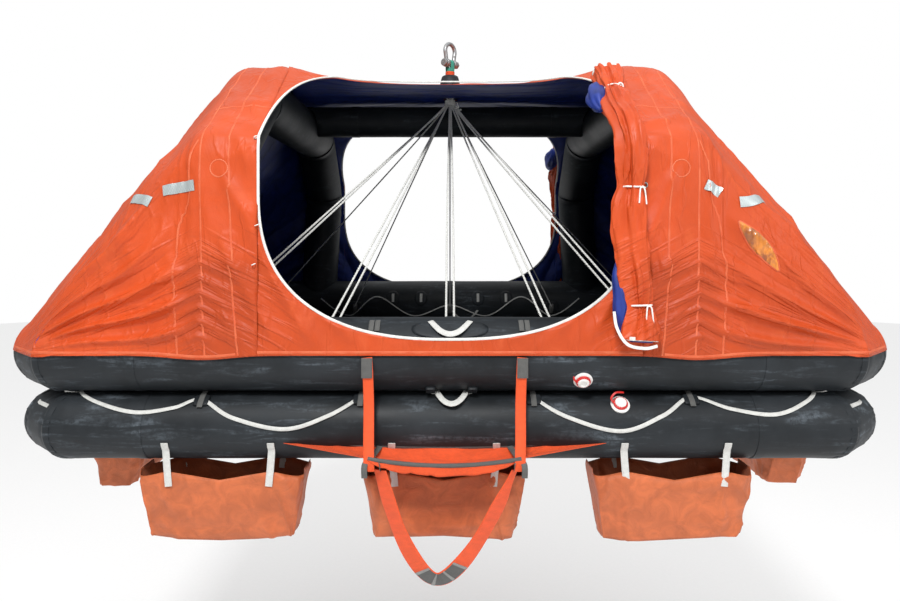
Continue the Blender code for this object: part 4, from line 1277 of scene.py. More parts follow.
class RAFT_OT_canopy(bpy.types.Operator):
    """Build the canopy's panels with their folds and lining"""
    bl_idname = "raft.canopy"
    bl_label = "Canopy"

    def execute(self, context):
        surface = EndSurface()
        for side, word in LEFT_RIGHT:
            self.end(surface, side, word)
        for side, word in NEAR_FAR:
            self.sill(side, word)
        self.roof()
        return {"FINISHED"}

    def end(self, surface, side, word):
        builder = loop_grid(340, 112, lambda u, v: surface.point(u - 0.5 * sin(2 * pi * u) / (2 * pi), v), (5.4, 2.3))
        builder.normal_update()
        moves = []
        for point in builder.verts:
            here = point.co
            way = -point.normal if point.normal.dot(here - lift(0.9, 0, 0.9)) < 0 else point.normal
            inner_edge = max(0.0, abs(here.x) - DOORWAY_X[-1 if here.y < 0 else 1])
            free = max(smooth(inner_edge, 0.0, 0.05), smooth(lift(0, 0, DOOR_MIDDLE).z - here.z, 0.0, SILL_EASE))
            rise = canopy_folds(here, 0.37 * (side + 1)) * (free * free_share(here.z - BASE))
            moves.append((point, way * rise - UP * hem_dip(here)))
        for point, move in moves:
            point.co += move
        corner = [p for p in builder.verts
                  if p.co.x > 1.5 and abs(p.co.y) > 1.2 and p.co.z < BASE + 0.80 and not p.is_boundary]
        for _ in range(6):
            bmesh.ops.smooth_vert(builder, verts=corner, factor=0.5, use_axis_x=True, use_axis_y=True, use_axis_z=True)
        for point in builder.verts:
            if point.co.z < lift(0, 0, UPPER_AXIS + UPPER_RADIUS).z:
                point.co = clear_of_tube(point.co)
        if side < 0:
            bmesh.ops.scale(builder, verts=builder.verts, vec=(-1, 1, 1))
        fabric(f"canopy_{word}_cloth", builder,
               [f"canopy_{word}_{part}" for part in END_PANELS])

    def sill(self, side, word):
        half = DOORWAY_X[side] + 0.006

        def place(u, v):
            x = half * sin(radians(-90 + 180 * u))
            h = SKIRT + (door_sill(x, DOORWAY_X[side]) - SKIRT) * v
            here = lift(x, side * wall_y(h), h)
            edge = smooth((1 - v) * (DOOR_MIDDLE - SKIRT), 0.0, SILL_EASE)
            rise = canopy_folds(here, 0.37 * (1 + copysign(1, x))) * free_share(h)
            tuck = 0.0022 * smooth(abs(x), half - 0.008, half - 0.004)
            return here + Vector((0, side * (rise * edge - tuck), -hem_dip(here)))

        fabric(f"canopy_{word}_cloth", loop_grid(150, 44, place, (1.72, 0.5)),
               ["canopy_" + word])

    def roof(self):
        def place(u, v):
            s = sin(radians(-90 + 180 * u))
            here = roof_point(s, roof_edge(s) * (v * 2 - 1)) + Vector((0.006 * s ** 9, 0, -0.0022 * s ** 20))
            rim = smooth(1 - abs(s), 0.0, 0.10) * smooth(1 - abs(v * 2 - 1), 0.0, 0.06)
            spans = 0.010 * ridge(ripple((here.x * 0.6, here.y * 2.2, 1.0), 0.3))
            about = atan2(here.y, here.x)
            pull = 0.008 * fold_wave(about / 0.45 + 0.2 * ripple(here, 0.4)) * exp(-hypot(here.x, here.y) / 0.35)
            dip = -0.014 * (1 - s * s) * smooth(abs(here.y), RIDGE_Y, ROOF_EDGE_Y)
            return here + UP * (rim * (spans + pull + 0.004 * ripple(here, 0.2)) + dip)

        builder = loop_grid(130, 150, place, (1.72, 2.4))
        neck = [face for face in builder.faces if hypot(*face.calc_center_median().xy) < 0.050]
        bmesh.ops.delete(builder, geom=neck, context="FACES")
        fabric("canopy_roof_cloth", builder,
               ["canopy_roof_near", "canopy_roof", "canopy_roof_far"])


class RAFT_OT_seams(bpy.types.Operator):
    """Sew the canopy: seams, hem, door piping, circles, reflective tapes, ties and the rain-water window"""
    bl_idname = "raft.seams"
    bl_label = "Seams, piping and tapes"

    def execute(self, context):
        made = []
        for mirror, word in LEFT_RIGHT:
            name = "canopy_" + word
            for places in (MAIN_LINE, INNER_LINE):
                line = both_sides([(mirror * x, y, h) for (y, h), x in zip(PROFILE, places)])
                made.append(laid_strap(name, rounded(line, 160, 0.02), SEAM_WIDTH, gap=0.010))
            for side, _ in NEAR_FAR:
                outer = [lift(mirror * x, side * (TUBE_Y + COVER + 0.01), h) for x, h in OUTER_LINE]
                edge = DOORWAY_X[side]
                shoulder = [lift(mirror * (edge + (MAIN_SEAM + 0.01 - edge) * k / 8), side * (1.26 + 0.012 * k / 8), 1.56)
                            for k in range(9)]
                made += [laid_strap(name, line, SEAM_WIDTH) for line in (outer, shoulder)]
                ring = [lift(mirror * 0.976 + 0.036 * cos(a), side * (TUBE_Y + COVER), 1.264 + 0.036 * sin(a))
                        for a in turns(36) + [2 * pi]]
                made.append(laid_strap(name, ring, 0.005, gap=0.006))
        make_piece("canopy_seams", made, stitched_finish(SEAM_WIDTH))
        self.hem()
        self.piping()
        self.tapes()
        self.window()
        self.lacing()
        return {"FINISHED"}

    def hem(self):
        height = SKIRT + 0.014
        lines = {}
        for mirror, word in LEFT_RIGHT:
            near, far = [lift(0.9, side * (TUBE_Y + SKIRT_OUT), height) for side, _ in NEAR_FAR]
            row = even_path([near] + hem_line(height) + [far], 0.04)
            lines["canopy_" + word] = [Vector((mirror * p.x, p.y, p.z)) - UP * hem_dip(lift(p.x, p.y, SKIRT)) for p in row]
        for side, word in NEAR_FAR:
            lines["canopy_" + word] = [lift(DOORWAY_X[side] * (k / 10 - 1), side * (TUBE_Y + SKIRT_OUT), height)
                                       for k in range(21)]
        made = [laid_strap(name, line, 0.010, 0.0014, gap=0.02) for name, line in lines.items()]
        make_piece("canopy_hem", made, stitched_finish(0.010))

    def piping(self):
        made = []
        for side, _ in NEAR_FAR:
            line = door_outline(side)
            over = [smooth(p.z - BASE, 1.35, 1.80) for p in line]
            made.append(strap(line, 0.012, 0.007, [(0, side * (1 - 0.6 * o), o) for o in over], sides=12, closed=True))
        make_piece("door_piping", made, webbing_finish("door_binding"))

    def tapes(self):
        lines = [(name, [seen(name, *pixel) for pixel in pixels]) for name, pixels in TAPES]
        lines += [("canopy_" + word, [lift(mirror * x, 1.50, h) for x, h in ((1.30, 1.14), (1.19, 1.16), (1.08, 1.18))])
                  for mirror, word in LEFT_RIGHT]
        made = [laid_strap(name, line, 0.046, 0.0012, 0.0035, sides=8) for name, line in lines]
        make_piece("reflective_tapes", made, tape_finish())

    def window(self):
        """The amber lens-shaped sheet that is gathered into the right-hand end, with a seam round it."""
        top = seen("canopy_right", 739, 221)
        foot = seen("canopy_right", 779, 271)
        way = laid_on("canopy_right", [top.lerp(foot, 0.5)], 0.0)[1][0]
        across = (foot - top).cross(way).normalized()

        def at(u, v):
            """v runs down the window and u from its upper right edge to its lower left edge."""
            return top.lerp(foot, v) + across * sin(pi * v) ** 0.8 * (0.028 - 0.070 * u)

        def place(u, v):
            here, ways = laid_on("canopy_right", [at(u, v)], 0.0)
            inside = min(1.0, 6 * u * (1 - u) + 0.05) * sin(pi * clamp(v)) ** 0.5
            pleat = 0.006 * fold_wave(v * 7 + 0.8 * u + 0.6 * ripple((u, v * 3, 0), 0.5)) * (0.4 + 0.6 * u)
            return here[0] + ways[0] * (0.0012 + inside * (0.004 + pleat))

        make_piece("rain_window", loop_grid(16, 48, place, (0.08, 0.26)), window_finish(), smooth=80)
        rim = [at(0, k / 16) for k in range(17)] + [at(1, 1 - k / 16) for k in range(1, 16)]
        seam = laid_strap("canopy_right", rim + rim[:1], 0.009, 0.0022, 0.0010, 0.006, 8)
        make_piece("window_seam", seam, stitched_finish(0.009))

    def lacing(self):
        """Small cord loops along the doorway's left edge, which the rolled cover is laced to."""
        made = []
        for side, _ in NEAR_FAR:
            for height in (0.86, 1.02, 1.40):
                beside = lift(-DOORWAY_X[side] - 0.014, side * wall_y(height), height)
                (spot,), (way,) = laid_on("canopy_left", [beside], 0.004)
                made.append(hoop(spot + way * 0.004, way.cross(Vector((1, 0, 0.4))), 0.008, 0.0022, 20, 8))
        make_piece("lacing_loops", made, rope_finish())


class Roll:
    """The middle line of a rolled door cover, and the ways that look away from the raft."""

    def __init__(self, side):
        elbow, top = arch_profile(COVER + ROLL_RADIUS + ROLL_GAP)[2:]
        shoulder = (elbow[0] + (top[0] - elbow[0]) * 0.65, elbow[1] + (top[1] - elbow[1]) * 0.65 + 0.008)
        outline = ((TUBE_Y + SKIRT_OUT + ROLL_RADIUS + ROLL_GAP, ROLL_FOOT), (elbow[0], SKIRT_TOP + 0.10), elbow, shoulder)
        rise = shoulder[1] - ROLL_FOOT
        corners = [lift(ROLL_X[side] - ROLL_LEAN * (h - ROLL_FOOT) / rise, side * y, h) for y, h in outline]
        self.side = side
        self.path = [point + Vector((0.009 * sin(k / 9), 0, 0)) for k, point in enumerate(rounded(corners, ROLL_STEPS, 0.07))]
        ways = [Vector((1, 0, 0)).cross(along_at(self.path, i)).normalized() * side for i in range(ROLL_STEPS + 1)]
        self.ways = [outward(*entry) for entry in zip(self.path, ways)]

    def size(self, share):
        """The bundle is pinched at each tie and swells between them."""
        return ROLL_RADIUS * (1.04 - sum(0.26 * exp(-((share - tie) / 0.035) ** 2) for tie in ROLL_TIES))

    def frame(self, at, along):
        """The ways across and out at one of the line's points, square to the way given."""
        out = (self.ways[at] - along * self.ways[at].dot(along)).normalized()
        return along.cross(out), out

    def ends(self):
        """Each open end: its point, the way that it looks, and the ways across and out."""
        for at, ahead in ((0, 1), (ROLL_STEPS, ROLL_STEPS - 1)):
            along = (self.path[at] - self.path[ahead]).normalized()
            yield (self.path[at], along, *self.frame(at, along))

    def bundle(self):
        total = length_of(self.path)

        def section(angle, distance):
            share = distance / total
            x, y = cos(angle) * 0.9, sin(angle) * 0.9
            lumps = (0.27 * ripple((x, y, distance * 1.1 + self.side), 0.55)
                     + 0.18 * ripple((x, y, distance * 3.2), 0.35, 2.0))
            folds = 0.32 * ridge(ripple((cos(angle) * 1.1, sin(angle) * 1.1, distance * 0.8 + 3), 0.45, 4.0))
            lip = 0.26 * exp(-((angle - 2.6 - 0.5 * sin(3 * share)) / 0.30) ** 2)
            flare = 0.30 * smooth(share, 0.10, 0.0) + 0.12 * smooth(share, 0.95, 1.0)
            r = self.size(share) * (0.85 + lumps + folds + lip + flare)
            return r * cos(angle) * 1.08, r * sin(angle) * 0.86

        return sweep(self.path, section, 72, self.ways, around=0.36)

    def tie(self, at):
        """A cord drawn round the bundle, with a knot and two tails on its outer side."""
        along = along_at(self.path, at)
        across, out = self.frame(at, along)
        reach = self.size(at / ROLL_STEPS)
        loop = [self.path[at] + across * reach * 1.10 * cos(a) + out * reach * 0.93 * sin(a) for a in turns(48)]
        knot = self.path[at] + out * reach * 0.75 + Vector((0.55 * reach, 0, 0))
        made = [cord(loop, 0.0038, 8, along, closed=True), hoop(knot + out * 0.006, along + out * 0.3, 0.007, 0.0042, 24, 8)]
        for lean in (-0.25, 0.35):
            fall = [knot + out * 0.008, knot + out * 0.016 + Vector((lean * 0.03, 0, -0.012)),
                    knot + out * 0.018 + Vector((lean * 0.05, 0, -0.055 - abs(lean) * 0.05))]
            made.append(cord(fall, 0.0032, 8, gap=0.005))
        return made

    def hems(self):
        """White binding round the open ends, and along the loose edge that hangs at the foot."""
        made = []
        for end, along, across, out in self.ends():
            rim = [end + (across * cos(a) + out * sin(a) * 0.82) * (ROLL_RADIUS * 1.16) * (1 + 0.10 * sin(3 * a + self.side))
                   - along * 0.004 for a in turns(44)]
            made.append(strap(rim, 0.016, 0.006, [p - end for p in rim], closed=True))
        steps = ((-0.105, -0.01, 0.115), (-0.100, 0.020, 0.05), (-0.066, 0.055, -0.010), (0.0, 0.072, -0.024),
                 (0.055, 0.050, -0.018))
        lip = [self.path[0] + Vector((x, self.side * y, z)) for x, y, z in steps]
        return made + [strap(lip, 0.013, 0.007, (0, self.side, 0), 0.008)]

    def linings(self):
        """Where the blue inner face shows: bulges beside the roll's foot and head, and the rolled ends."""
        made = []
        for start, end, shift, swell in ((0.01, 0.23, -0.068, 0.040), (0.76, 0.93, -0.072, 0.050)):
            chosen = range(round(start * ROLL_STEPS), round(end * ROLL_STEPS) + 1)
            line = [self.path[i] + Vector((shift, 0, 0)) - self.ways[i] * 0.016 for i in chosen]
            line = smooth_path(line[::3] + [line[-1]], 0.006)

            def section(angle, distance):
                share = distance / (0.006 * (len(line) - 1))
                r = swell * sin(pi * clamp(share * 0.92 + 0.04)) ** 0.7
                return polar(r * (1 + 0.35 * ripple((*polar(1, angle), distance * 5), 0.5, 3.0)), angle)

            made.append(sweep(line, section, 36, (0, self.side, 0.2)))
        for end, along, across, out in self.ends():
            coil = []
            for k in range(90):
                angle = 2 * pi * k / 32
                reach = ROLL_RADIUS * (0.10 + 0.30 * k / 32)
                coil.append(end + (across * cos(angle) * 1.08 + out * sin(angle) * 0.86) * reach + along * 0.004)
            made.append(strap(coil, 0.012, 0.0045, [p - end for p in coil]))
        return made


class RAFT_OT_doors(bpy.types.Operator):
    """Build the rolled door covers with their ties, linings and hems"""
    bl_idname = "raft.doors"
    bl_label = "Rolled door covers"

    def execute(self, context):
        cords, hems, linings, eyelets = [], [], [], []
        for side, word in NEAR_FAR:
            roll = Roll(side)
            make_piece(f"door_roll_{word}_cloth", roll.bundle(), canopy_finish(), "door_roll_" + word, smooth=80)
            for share in ROLL_TIES:
                at = round(share * ROLL_STEPS)
                cords += roll.tie(at)
                (spot,), (way,) = laid_on("canopy_right", [roll.path[at] + Vector((0.064, 0, 0.012))], 0.002)
                eyelets.append(hoop(spot, way, 0.0095, 0.0035, 32))
            hems += roll.hems()
            linings += roll.linings()
        make_piece("door_ties", cords, rope_finish())
        make_piece("door_hems", hems, webbing_finish("door_binding"))
        make_piece("door_eyelets", eyelets, galvanised_finish(), smooth=40)
        make_piece("door_linings", linings, lining_finish(), smooth=80)
        return {"FINISHED"}


class RAFT_OT_lines(bpy.types.Operator):
    """Build the lifelines, handles, patches and towing rings on the tubes"""
    bl_idname = "raft.lines"
    bl_label = "Lifelines and patches"

    def execute(self, context):
        width = settings("webbing").lifeline_width
        pale, patches, sewn = [], [], []
        for side, _ in NEAR_FAR:
            pale += [tube_line(places, width, 0.0032, 0.0045, side) for places in LIFELINES]
            patches += [tube_patch(*place, 0.034, 0.030, side, power=5.0, out=0.0072) for place in LIFELINE_PATCHES]
            pale.append(self.handle(-0.084, 0.087, 0.604, 0.550, side))
            pale.append(self.handle(-0.084, 0.097, 0.322, 0.247, side))
            patches.append(tube_patch(0.0, 0.580, 0.165, 0.052, side, power=2.4))
            patches += [tube_patch(x, 0.318, 0.022, 0.026, side, power=5.0, out=0.012) for x in (-0.084, 0.097)]
        pale += [self.end_line(mirror, width) for mirror, _ in LEFT_RIGHT]
        pale += self.inner_lines(width)
        make_piece("lifelines", pale, webbing_finish("lifeline_webbing"))
        for side, _ in NEAR_FAR:
            patches += [tube_patch(*place, 0.050, 0.060, side, inner=True) for place in INNER_PATCHES]
            patches += [tube_patch(x, FOOT_HEIGHT, 0.060, 0.050, side, inner=True, power=2.6, out=0.003) for x in LEGS[side]]
        thicken(make_piece("tube_patches", patches, rubber_finish(0.5)), 0.0016)
        for side, _ in NEAR_FAR:
            for x in (-0.325, 0.320):
                for shift in (-0.013, 0.013):
                    places = [(x + shift, height) for height in (0.570, 0.590, 0.608)]
                    sewn.append(tube_line(places, 0.022, 0.003, 0.004, side, gap=0.006))
        for side, _ in NEAR_FAR:
            for x, height in LIFELINE_PATCHES:
                places = [(x, height + rise) for rise in (-0.026, 0, 0.026)]
                sewn.append(tube_line(places, 0.024, 0.003, 0.009, side, gap=0.006))
        make_piece("sewn_patches", sewn, webbing_finish("grey_webbing"))
        self.towing()
        return {"FINISHED"}

    def handle(self, start, end, height, dip, side):
        """A webbing grip that stands off the tube between its ends."""
        low = (height + dip * 3) / 4
        places = [(start, height), (start * 0.75 + end * 0.25, low), ((start + end) / 2, dip),
                  (start * 0.25 + end * 0.75, low), (end, height)]
        flat = smooth_path([(x, h, 0) for x, h in places], 0.006)
        last = len(flat) - 1
        found = [tube_face(p.x, p.y, 0.006 + 0.020 * sin(pi * i / last), side) for i, p in enumerate(flat)]
        return strap([spot for spot, _ in found], 0.026, 0.004, [way for _, way in found])

    def end_line(self, mirror, width):
        """The lower lifeline carries on round the raft's end."""
        line, ways = [], []
        ring = [p for p in even_path(tube_outline(LOWER_X, LOWER_AXIS), 0.05) if p.x * mirror > LOWER_X - 0.11]
        for p in sorted(ring, key=lambda p: p.y):
            drop_share = cos(pi * p.y / TUBE_Y) * 0.5 + 0.5
            slope = radians(40 - 50 * drop_share * (1 if abs(p.y) < TUBE_Y * 0.98 else 0))
            corner = clamp((abs(p.y) - TUBE_Y + TUBE_MITRE) / TUBE_MITRE)
            out = Vector((mirror * (1 - 0.6 * corner), copysign(corner, p.y), 0)).normalized()
            ways.append(out * cos(slope) + UP * sin(slope))
            line.append(p + ways[-1] * (LOWER_RADIUS + 0.006))
        return strap(line, width, 0.0032, ways)

    def inner_lines(self, width):
        """Swagged lines and short tabs on the inner faces, seen through the doorway."""
        made = []
        for side, _ in NEAR_FAR:
            made.append(tube_line(INNER_SWAGS, width * 0.55, 0.003, 0.010, side, inner=True))
            for x, height in INNER_PATCHES:
                places = [(x, height + rise) for rise in (-0.030, 0, 0.032)]
                made.append(tube_line(places, 0.020, 0.004, 0.006, side, inner=True))
            places = [(0.016, 0.40), (0.07, 0.345), (0.16, 0.34), (0.22, 0.40)]
            made.append(tube_line(places, 0.016, 0.003, 0.010, side, inner=True))
        return made

    def towing(self):
        """Steel rings held by a doubled strap on each towing patch."""
        rings, straps = [], []
        for mirror, word in LEFT_RIGHT:
            low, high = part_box("tow_patch_" + word)
            face = high.x if mirror > 0 else low.x
            height = (low.z + high.z) / 2 - 0.012
            rings.append(hoop((face + mirror * 0.006, 0, height - 0.012), (1, 0, 0.25 * mirror), 0.024, 0.0045, 48, 12))
            path = [(face + mirror * 0.003, y, height + 0.014) for y in (-0.07, -0.035, -0.012, 0.012, 0.035, 0.07)]
            straps.append(strap(path, 0.026, 0.003, (mirror, 0, 0), 0.006))
            for y in (-0.052, 0.052):
                path = [Vector((face + mirror * 0.005, y, height + rise)) for rise in (-0.012, 0.014, 0.038)]
                straps.append(strap(path, 0.030, 0.003, (mirror, 0, 0)))
            for place in bpy.data.objects["tow_patch_" + word].material_slots:
                place.material = rubber_finish(0.5)
        make_piece("towing_rings", rings, galvanised_finish(), smooth=40)
        make_piece("towing_straps", straps, webbing_finish("grey_webbing"))


class RAFT_OT_bridle(bpy.types.Operator):
    """Build the lifting ropes, their gathering, the roof's collar and the sling"""
    bl_idname = "raft.bridle"
    bl_label = "Bridle, collar and sling"

    def execute(self, context):
        webbing = settings("webbing")
        ropes, loops = [], []
        legs = [(x, -1, shift) for x in LEGS[-1] for shift in (-1, 1)] + [(x, 1, 0) for x in LEGS[1]]
        for number, (x, side, shift) in enumerate(legs):
            foot = tube_face(x, FOOT_HEIGHT + 0.015, 0.020, side, inner=True)[0] + Vector((0.020 * shift, 0, 0))
            turn = atan2(side * 0.6, x) + 0.25 * shift
            gather = lift(*polar(0.021 if number % 2 else 0.011, turn), GATHER_HEIGHT)
            middle = foot.lerp(gather, 0.5) + Vector((0.004 * shift, 0, -0.006))
            path = smooth_path([foot, middle, gather, gather + UP * (COLLAR_LOW - GATHER_HEIGHT)], 0.0085)
            ropes.append(rope(path, webbing.rope_radius * (1.0 if side < 0 else 0.85), webbing.rope_lay))
        for side, feet in LEGS.items():
            for x in feet:
                places = ((-0.045, 0.004), (-0.020, 0.012), (0.005, 0.016), (0.030, 0.006))
                found = [tube_face(x, FOOT_HEIGHT + rise, off, side, inner=True) for rise, off in places]
                loops.append(strap([spot for spot, _ in found], 0.034, 0.004, found[0][1], 0.006))
        make_piece("bridle_ropes", ropes, rope_finish(), "bridle", smooth=0)
        make_piece("bridle_anchors", loops, webbing_finish("grey_webbing"))
        self.whipping()
        self.collar()
        return {"FINISHED"}

    def helix(self, reach, low, high, rounds, radius):
        steps = round(rounds * 28)
        points = [lift(*polar(reach, 2 * pi * rounds * k / steps), low + (high - low) * k / steps) for k in range(steps + 1)]
        return cord(points, radius, 8)

    def whipping(self):
        """Cord wound round the gathered ropes, with two toggled ends."""
        made = [self.helix(0.030, 1.800, 1.832, 6, 0.0028)]
        for x, drop_to in ((0.040, 1.785), (0.055, 1.770)):
            tail = lifted((0.028, -0.012, 1.812), (x * 0.8, -0.035, 1.812), (x, -0.040, drop_to))
            made.append(cord(tail, 0.0024, 8, gap=0.005))
            toggle = lift(x + 0.004, -0.041, drop_to - 0.006)
            made.append(turned(barrel(-0.014, 0.014, 0.0055, 0.002), toggle, (0.9, 0.1, 0.5), 20))
        make_piece("bridle_whipping", made, rope_finish(), smooth=50)

    def collar(self):
        bell = ((0.0, 0.052), (0.0, 0.088), (0.004, 0.090), (0.010, 0.084), (0.026, 0.072), (0.058, 0.066), (0.100, 0.060),
                (0.128, 0.053), (0.136, 0.049), (0.140, 0.043), (0.140, 0.034))
        make_piece("rubber_collar", turned(bell, lift(0, 0, 1.846), UP, 64), rubber_finish(0.5), "bridle_collar", smooth=45)
        core = turned(barrel(0.0, BINDING_HIGH - COLLAR_HIGH, 0.0265, 0.003), lift(0, 0, COLLAR_HIGH + 0.001), UP, 40)
        wound = self.helix(0.0265, COLLAR_HIGH + 0.003, BINDING_HIGH - 0.003, 7, 0.0024)
        make_piece("wound_binding", [core, wound], webbing_finish("orange_binding"), "sling_binding", smooth=50)
        low = lift(0, 0, BINDING_HIGH - 0.004)
        middle = (low + PIN) / 2
        turn = [radians(degrees) for degrees in range(190, -11, -10)]
        loop = ([low - SHACKLE_SIDE * 0.020, middle - SHACKLE_SIDE * 0.022]
                + [PIN + (SHACKLE_SIDE * cos(a) + UP * sin(a)) * (PIN_RADIUS + 0.006) for a in turn]
                + [middle + SHACKLE_SIDE * 0.022, low + SHACKLE_SIDE * 0.020])
        path = smooth_path(loop, 0.004)
        eye = strap(path, 0.030, 0.0075, [p - PIN + UP * 0.01 for p in path], sides=12)
        throat = turned(barrel(-0.004, 0.030, 0.0205, 0.006), low, UP, 32)
        green = plain_finish("green_sling", (0.040, 0.30, 0.22), 0.7, scale=90.0, contrast=0.3, relief=0.6)
        make_piece("sling_loop", [eye, throat], green, "sling_eye", smooth=50)


class RAFT_OT_shackle(bpy.types.Operator):
    """Build the galvanised bow shackle, its pin, nut and cotter"""
    bl_idname = "raft.shackle"
    bl_label = "Shackle"

    def execute(self, context):
        steel = galvanised_finish()
        crown = [(SHACKLE_BOW * cos(a), -PIN.z + SHACKLE_BAR - SHACKLE_BOW + SHACKLE_BOW * sin(a))
                 for a in [radians(degrees) for degrees in range(200, -21, -10)]]
        places = [(-SHACKLE_LEG, 0.0), (-SHACKLE_LEG - 0.003, 0.022)] + crown + [(SHACKLE_LEG + 0.003, 0.022), (SHACKLE_LEG, 0.0)]
        bow = [cord([PIN + SHACKLE_WAY * a + UP * z for a, z in places], SHACKLE_BAR, 32, SHACKLE_SIDE, 0.005)]
        bow += [turned(barrel(-SHACKLE_BAR, SHACKLE_BAR, 0.026, 0.003), PIN + SHACKLE_WAY * SHACKLE_LEG * end, SHACKLE_WAY, 48)
                for end in (-1, 1)]
        make_piece("forged_bow", bow, steel, "shackle_bow", 45, "shackle")

        nut = bmesh.new()
        bmesh.ops.create_cone(nut, cap_ends=True, segments=6, radius1=0.024, radius2=0.024, depth=0.0145)
        bmesh.ops.bevel(nut, geom=nut.edges[:], offset=0.0012, segments=2, profile=0.5, affect="EDGES", material=-1)
        bmesh.ops.transform(nut, matrix=UP.rotation_difference(SHACKLE_WAY).to_matrix().to_4x4(), verts=nut.verts)
        bmesh.ops.translate(nut, verts=nut.verts, vec=PIN + SHACKLE_WAY * 0.0588)
        hole = PIN + SHACKLE_WAY * 0.0675
        bolt = [turned(barrel(-0.060, 0.070, PIN_RADIUS, 0.0015), PIN, SHACKLE_WAY, 40),
                turned(barrel(-0.0640, -0.0515, 0.023, 0.003), PIN, SHACKLE_WAY, 48), nut,
                cord([hole + SHACKLE_SIDE * s for s in (-0.020, -0.008, 0.008, 0.018)], 0.0018, 10),
                hoop(hole + SHACKLE_SIDE * 0.022, SHACKLE_WAY, 0.0042, 0.0016, 24, 8)]
        make_piece("shackle_bolt", bolt, steel, "shackle_pin", 40, "shackle")
        return {"FINISHED"}


class RAFT_OT_pockets(bpy.types.Operator):
    """Build the water pockets and their straps"""
    bl_idname = "raft.pockets"
    bl_label = "Water pockets"

    def execute(self, context):
        bags, straps = [], []
        places = [(f"pocket_{word}_{number}", side, False) for side, word in NEAR_FAR for number in (1, 2, 3)]
        places += [(f"pocket_{word}_{number}", side, True) for side, word in LEFT_RIGHT for number in (1, 2)]
        for number, (name, side, at_end) in enumerate(places):
            low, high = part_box(name)
            centre = (low + high) / 2
            width = (high.y - low.y) if at_end else (high.x - low.x)
            across = Vector((0, side, 0)) if at_end else Vector((-side, 0, 0))
            out = Vector((side, 0, 0)) if at_end else Vector((0, side, 0))
            mouth = Vector((centre.x, centre.y, BASE - 0.03))
            bags.append(self.bag(mouth, across, out, width, number * 3.7))
            straps += self.straps(mouth, across, out, width)
        # The inner face gets the darker copy of the pocket cloth: painted shade
        bag = make_piece("water_pockets", bags, [pocket_finish(1.0), pocket_finish(0.8)], [name for name, _, _ in places], 80)
        thicken(bag, 0.0014, lining=True)
        make_piece("pocket_straps", straps, webbing_finish("lifeline_webbing"))
        return {"FINISHED"}

    def bag(self, mouth, across, out, width, seed):
        """An open bag that sags between its straps, with boxed corners and a flat-folded bottom."""
        half = width / 2
        deep = POCKET_DEPTH / 2
        wall_rows = 0.80

        def place(u, v):
            angle = 2 * pi * u
            wide = boxed(cos(angle), 0.24)
            thick = boxed(sin(angle), 0.30)
            down = min(1.0, v / wall_rows)
            under = max(0.0, (v - wall_rows) / (1 - wall_rows))
            x = wide * half * (1 - 0.15 * down) * (1 - 0.06 * under)
            y = thick * deep * (1 - 0.30 * down + 0.10 * sin(pi * down)) * (1 - 0.97 * under)
            strap_gap = min(abs(wide + 0.6), abs(wide - 0.6))
            sag = 0.034 * smooth(strap_gap, 0.0, 0.45) * (1 - down) ** 1.5 * (1 if abs(thick) > 0.6 else 0.3)
            z = -POCKET_HEIGHT * (down * (0.965 + 0.035 * cos(2.2 * wide + seed)) + 0.02 * under) - sag
            way = Vector((wide * 0.25, thick, 0)).normalized()
            long_fold = ridge(ripple((x * 2.6 + 0.5 * z, thick * 0.4, z * 0.7), 0.22, seed))
            tugs = fold_wave(((wide * half) + 0.35 * z) / 0.085 + ripple((x, thick, z), 0.2, seed + 4))
            cross = ridge(ripple((x * 0.6, thick * 0.3, z * 2.4), 0.20, seed + 2))
            drape = 0.018 * long_fold + 0.010 * tugs * smooth(strap_gap, 0.35, 0.05) * (1 - 0.6 * down)
            drape += 0.008 * cross * smooth(down, 0.5, 1.0) + 0.004 * ripple((x, y, z), 0.09, seed + 1)
            drape *= smooth(v, 0.0, 0.06) * (1 - 0.8 * under)
            x += way.x * drape
            y += way.y * (drape - 0.004)
            return mouth + across * x + out * y + UP * (z + 0.012 * (1 - down) * (abs(wide) ** 6))

        return loop_grid(108, 30, place, (2 * (width + POCKET_DEPTH), 0.36), round_across=True)

    def straps(self, mouth, across, out, width):
        """Webbing from the tube's underside down to the bag's rim, stitched on four centimetres below it."""
        made = []
        off = POCKET_DEPTH / 2 + 0.004
        reach = LOWER_RADIUS + 0.004
        start = asin(min(1.0, off / reach))
        for share in (-0.30, 0.30):
            for way in (-out, out):
                lean = across * copysign(0.012, share)
                middle = mouth + across * share * width
                path = [middle + way * reach * sin(angle) + UP * (0.03 + LOWER_AXIS - reach * cos(angle)) + lean
                        for angle in (start + 0.30, start + 0.15, start)]
                path += [middle + way * off + UP * 0.02 + lean * 0.6, middle + way * (off + 0.002) - UP * 0.058]
                made.append(strap(path, 0.031, 0.0035, way, 0.010))
        return made


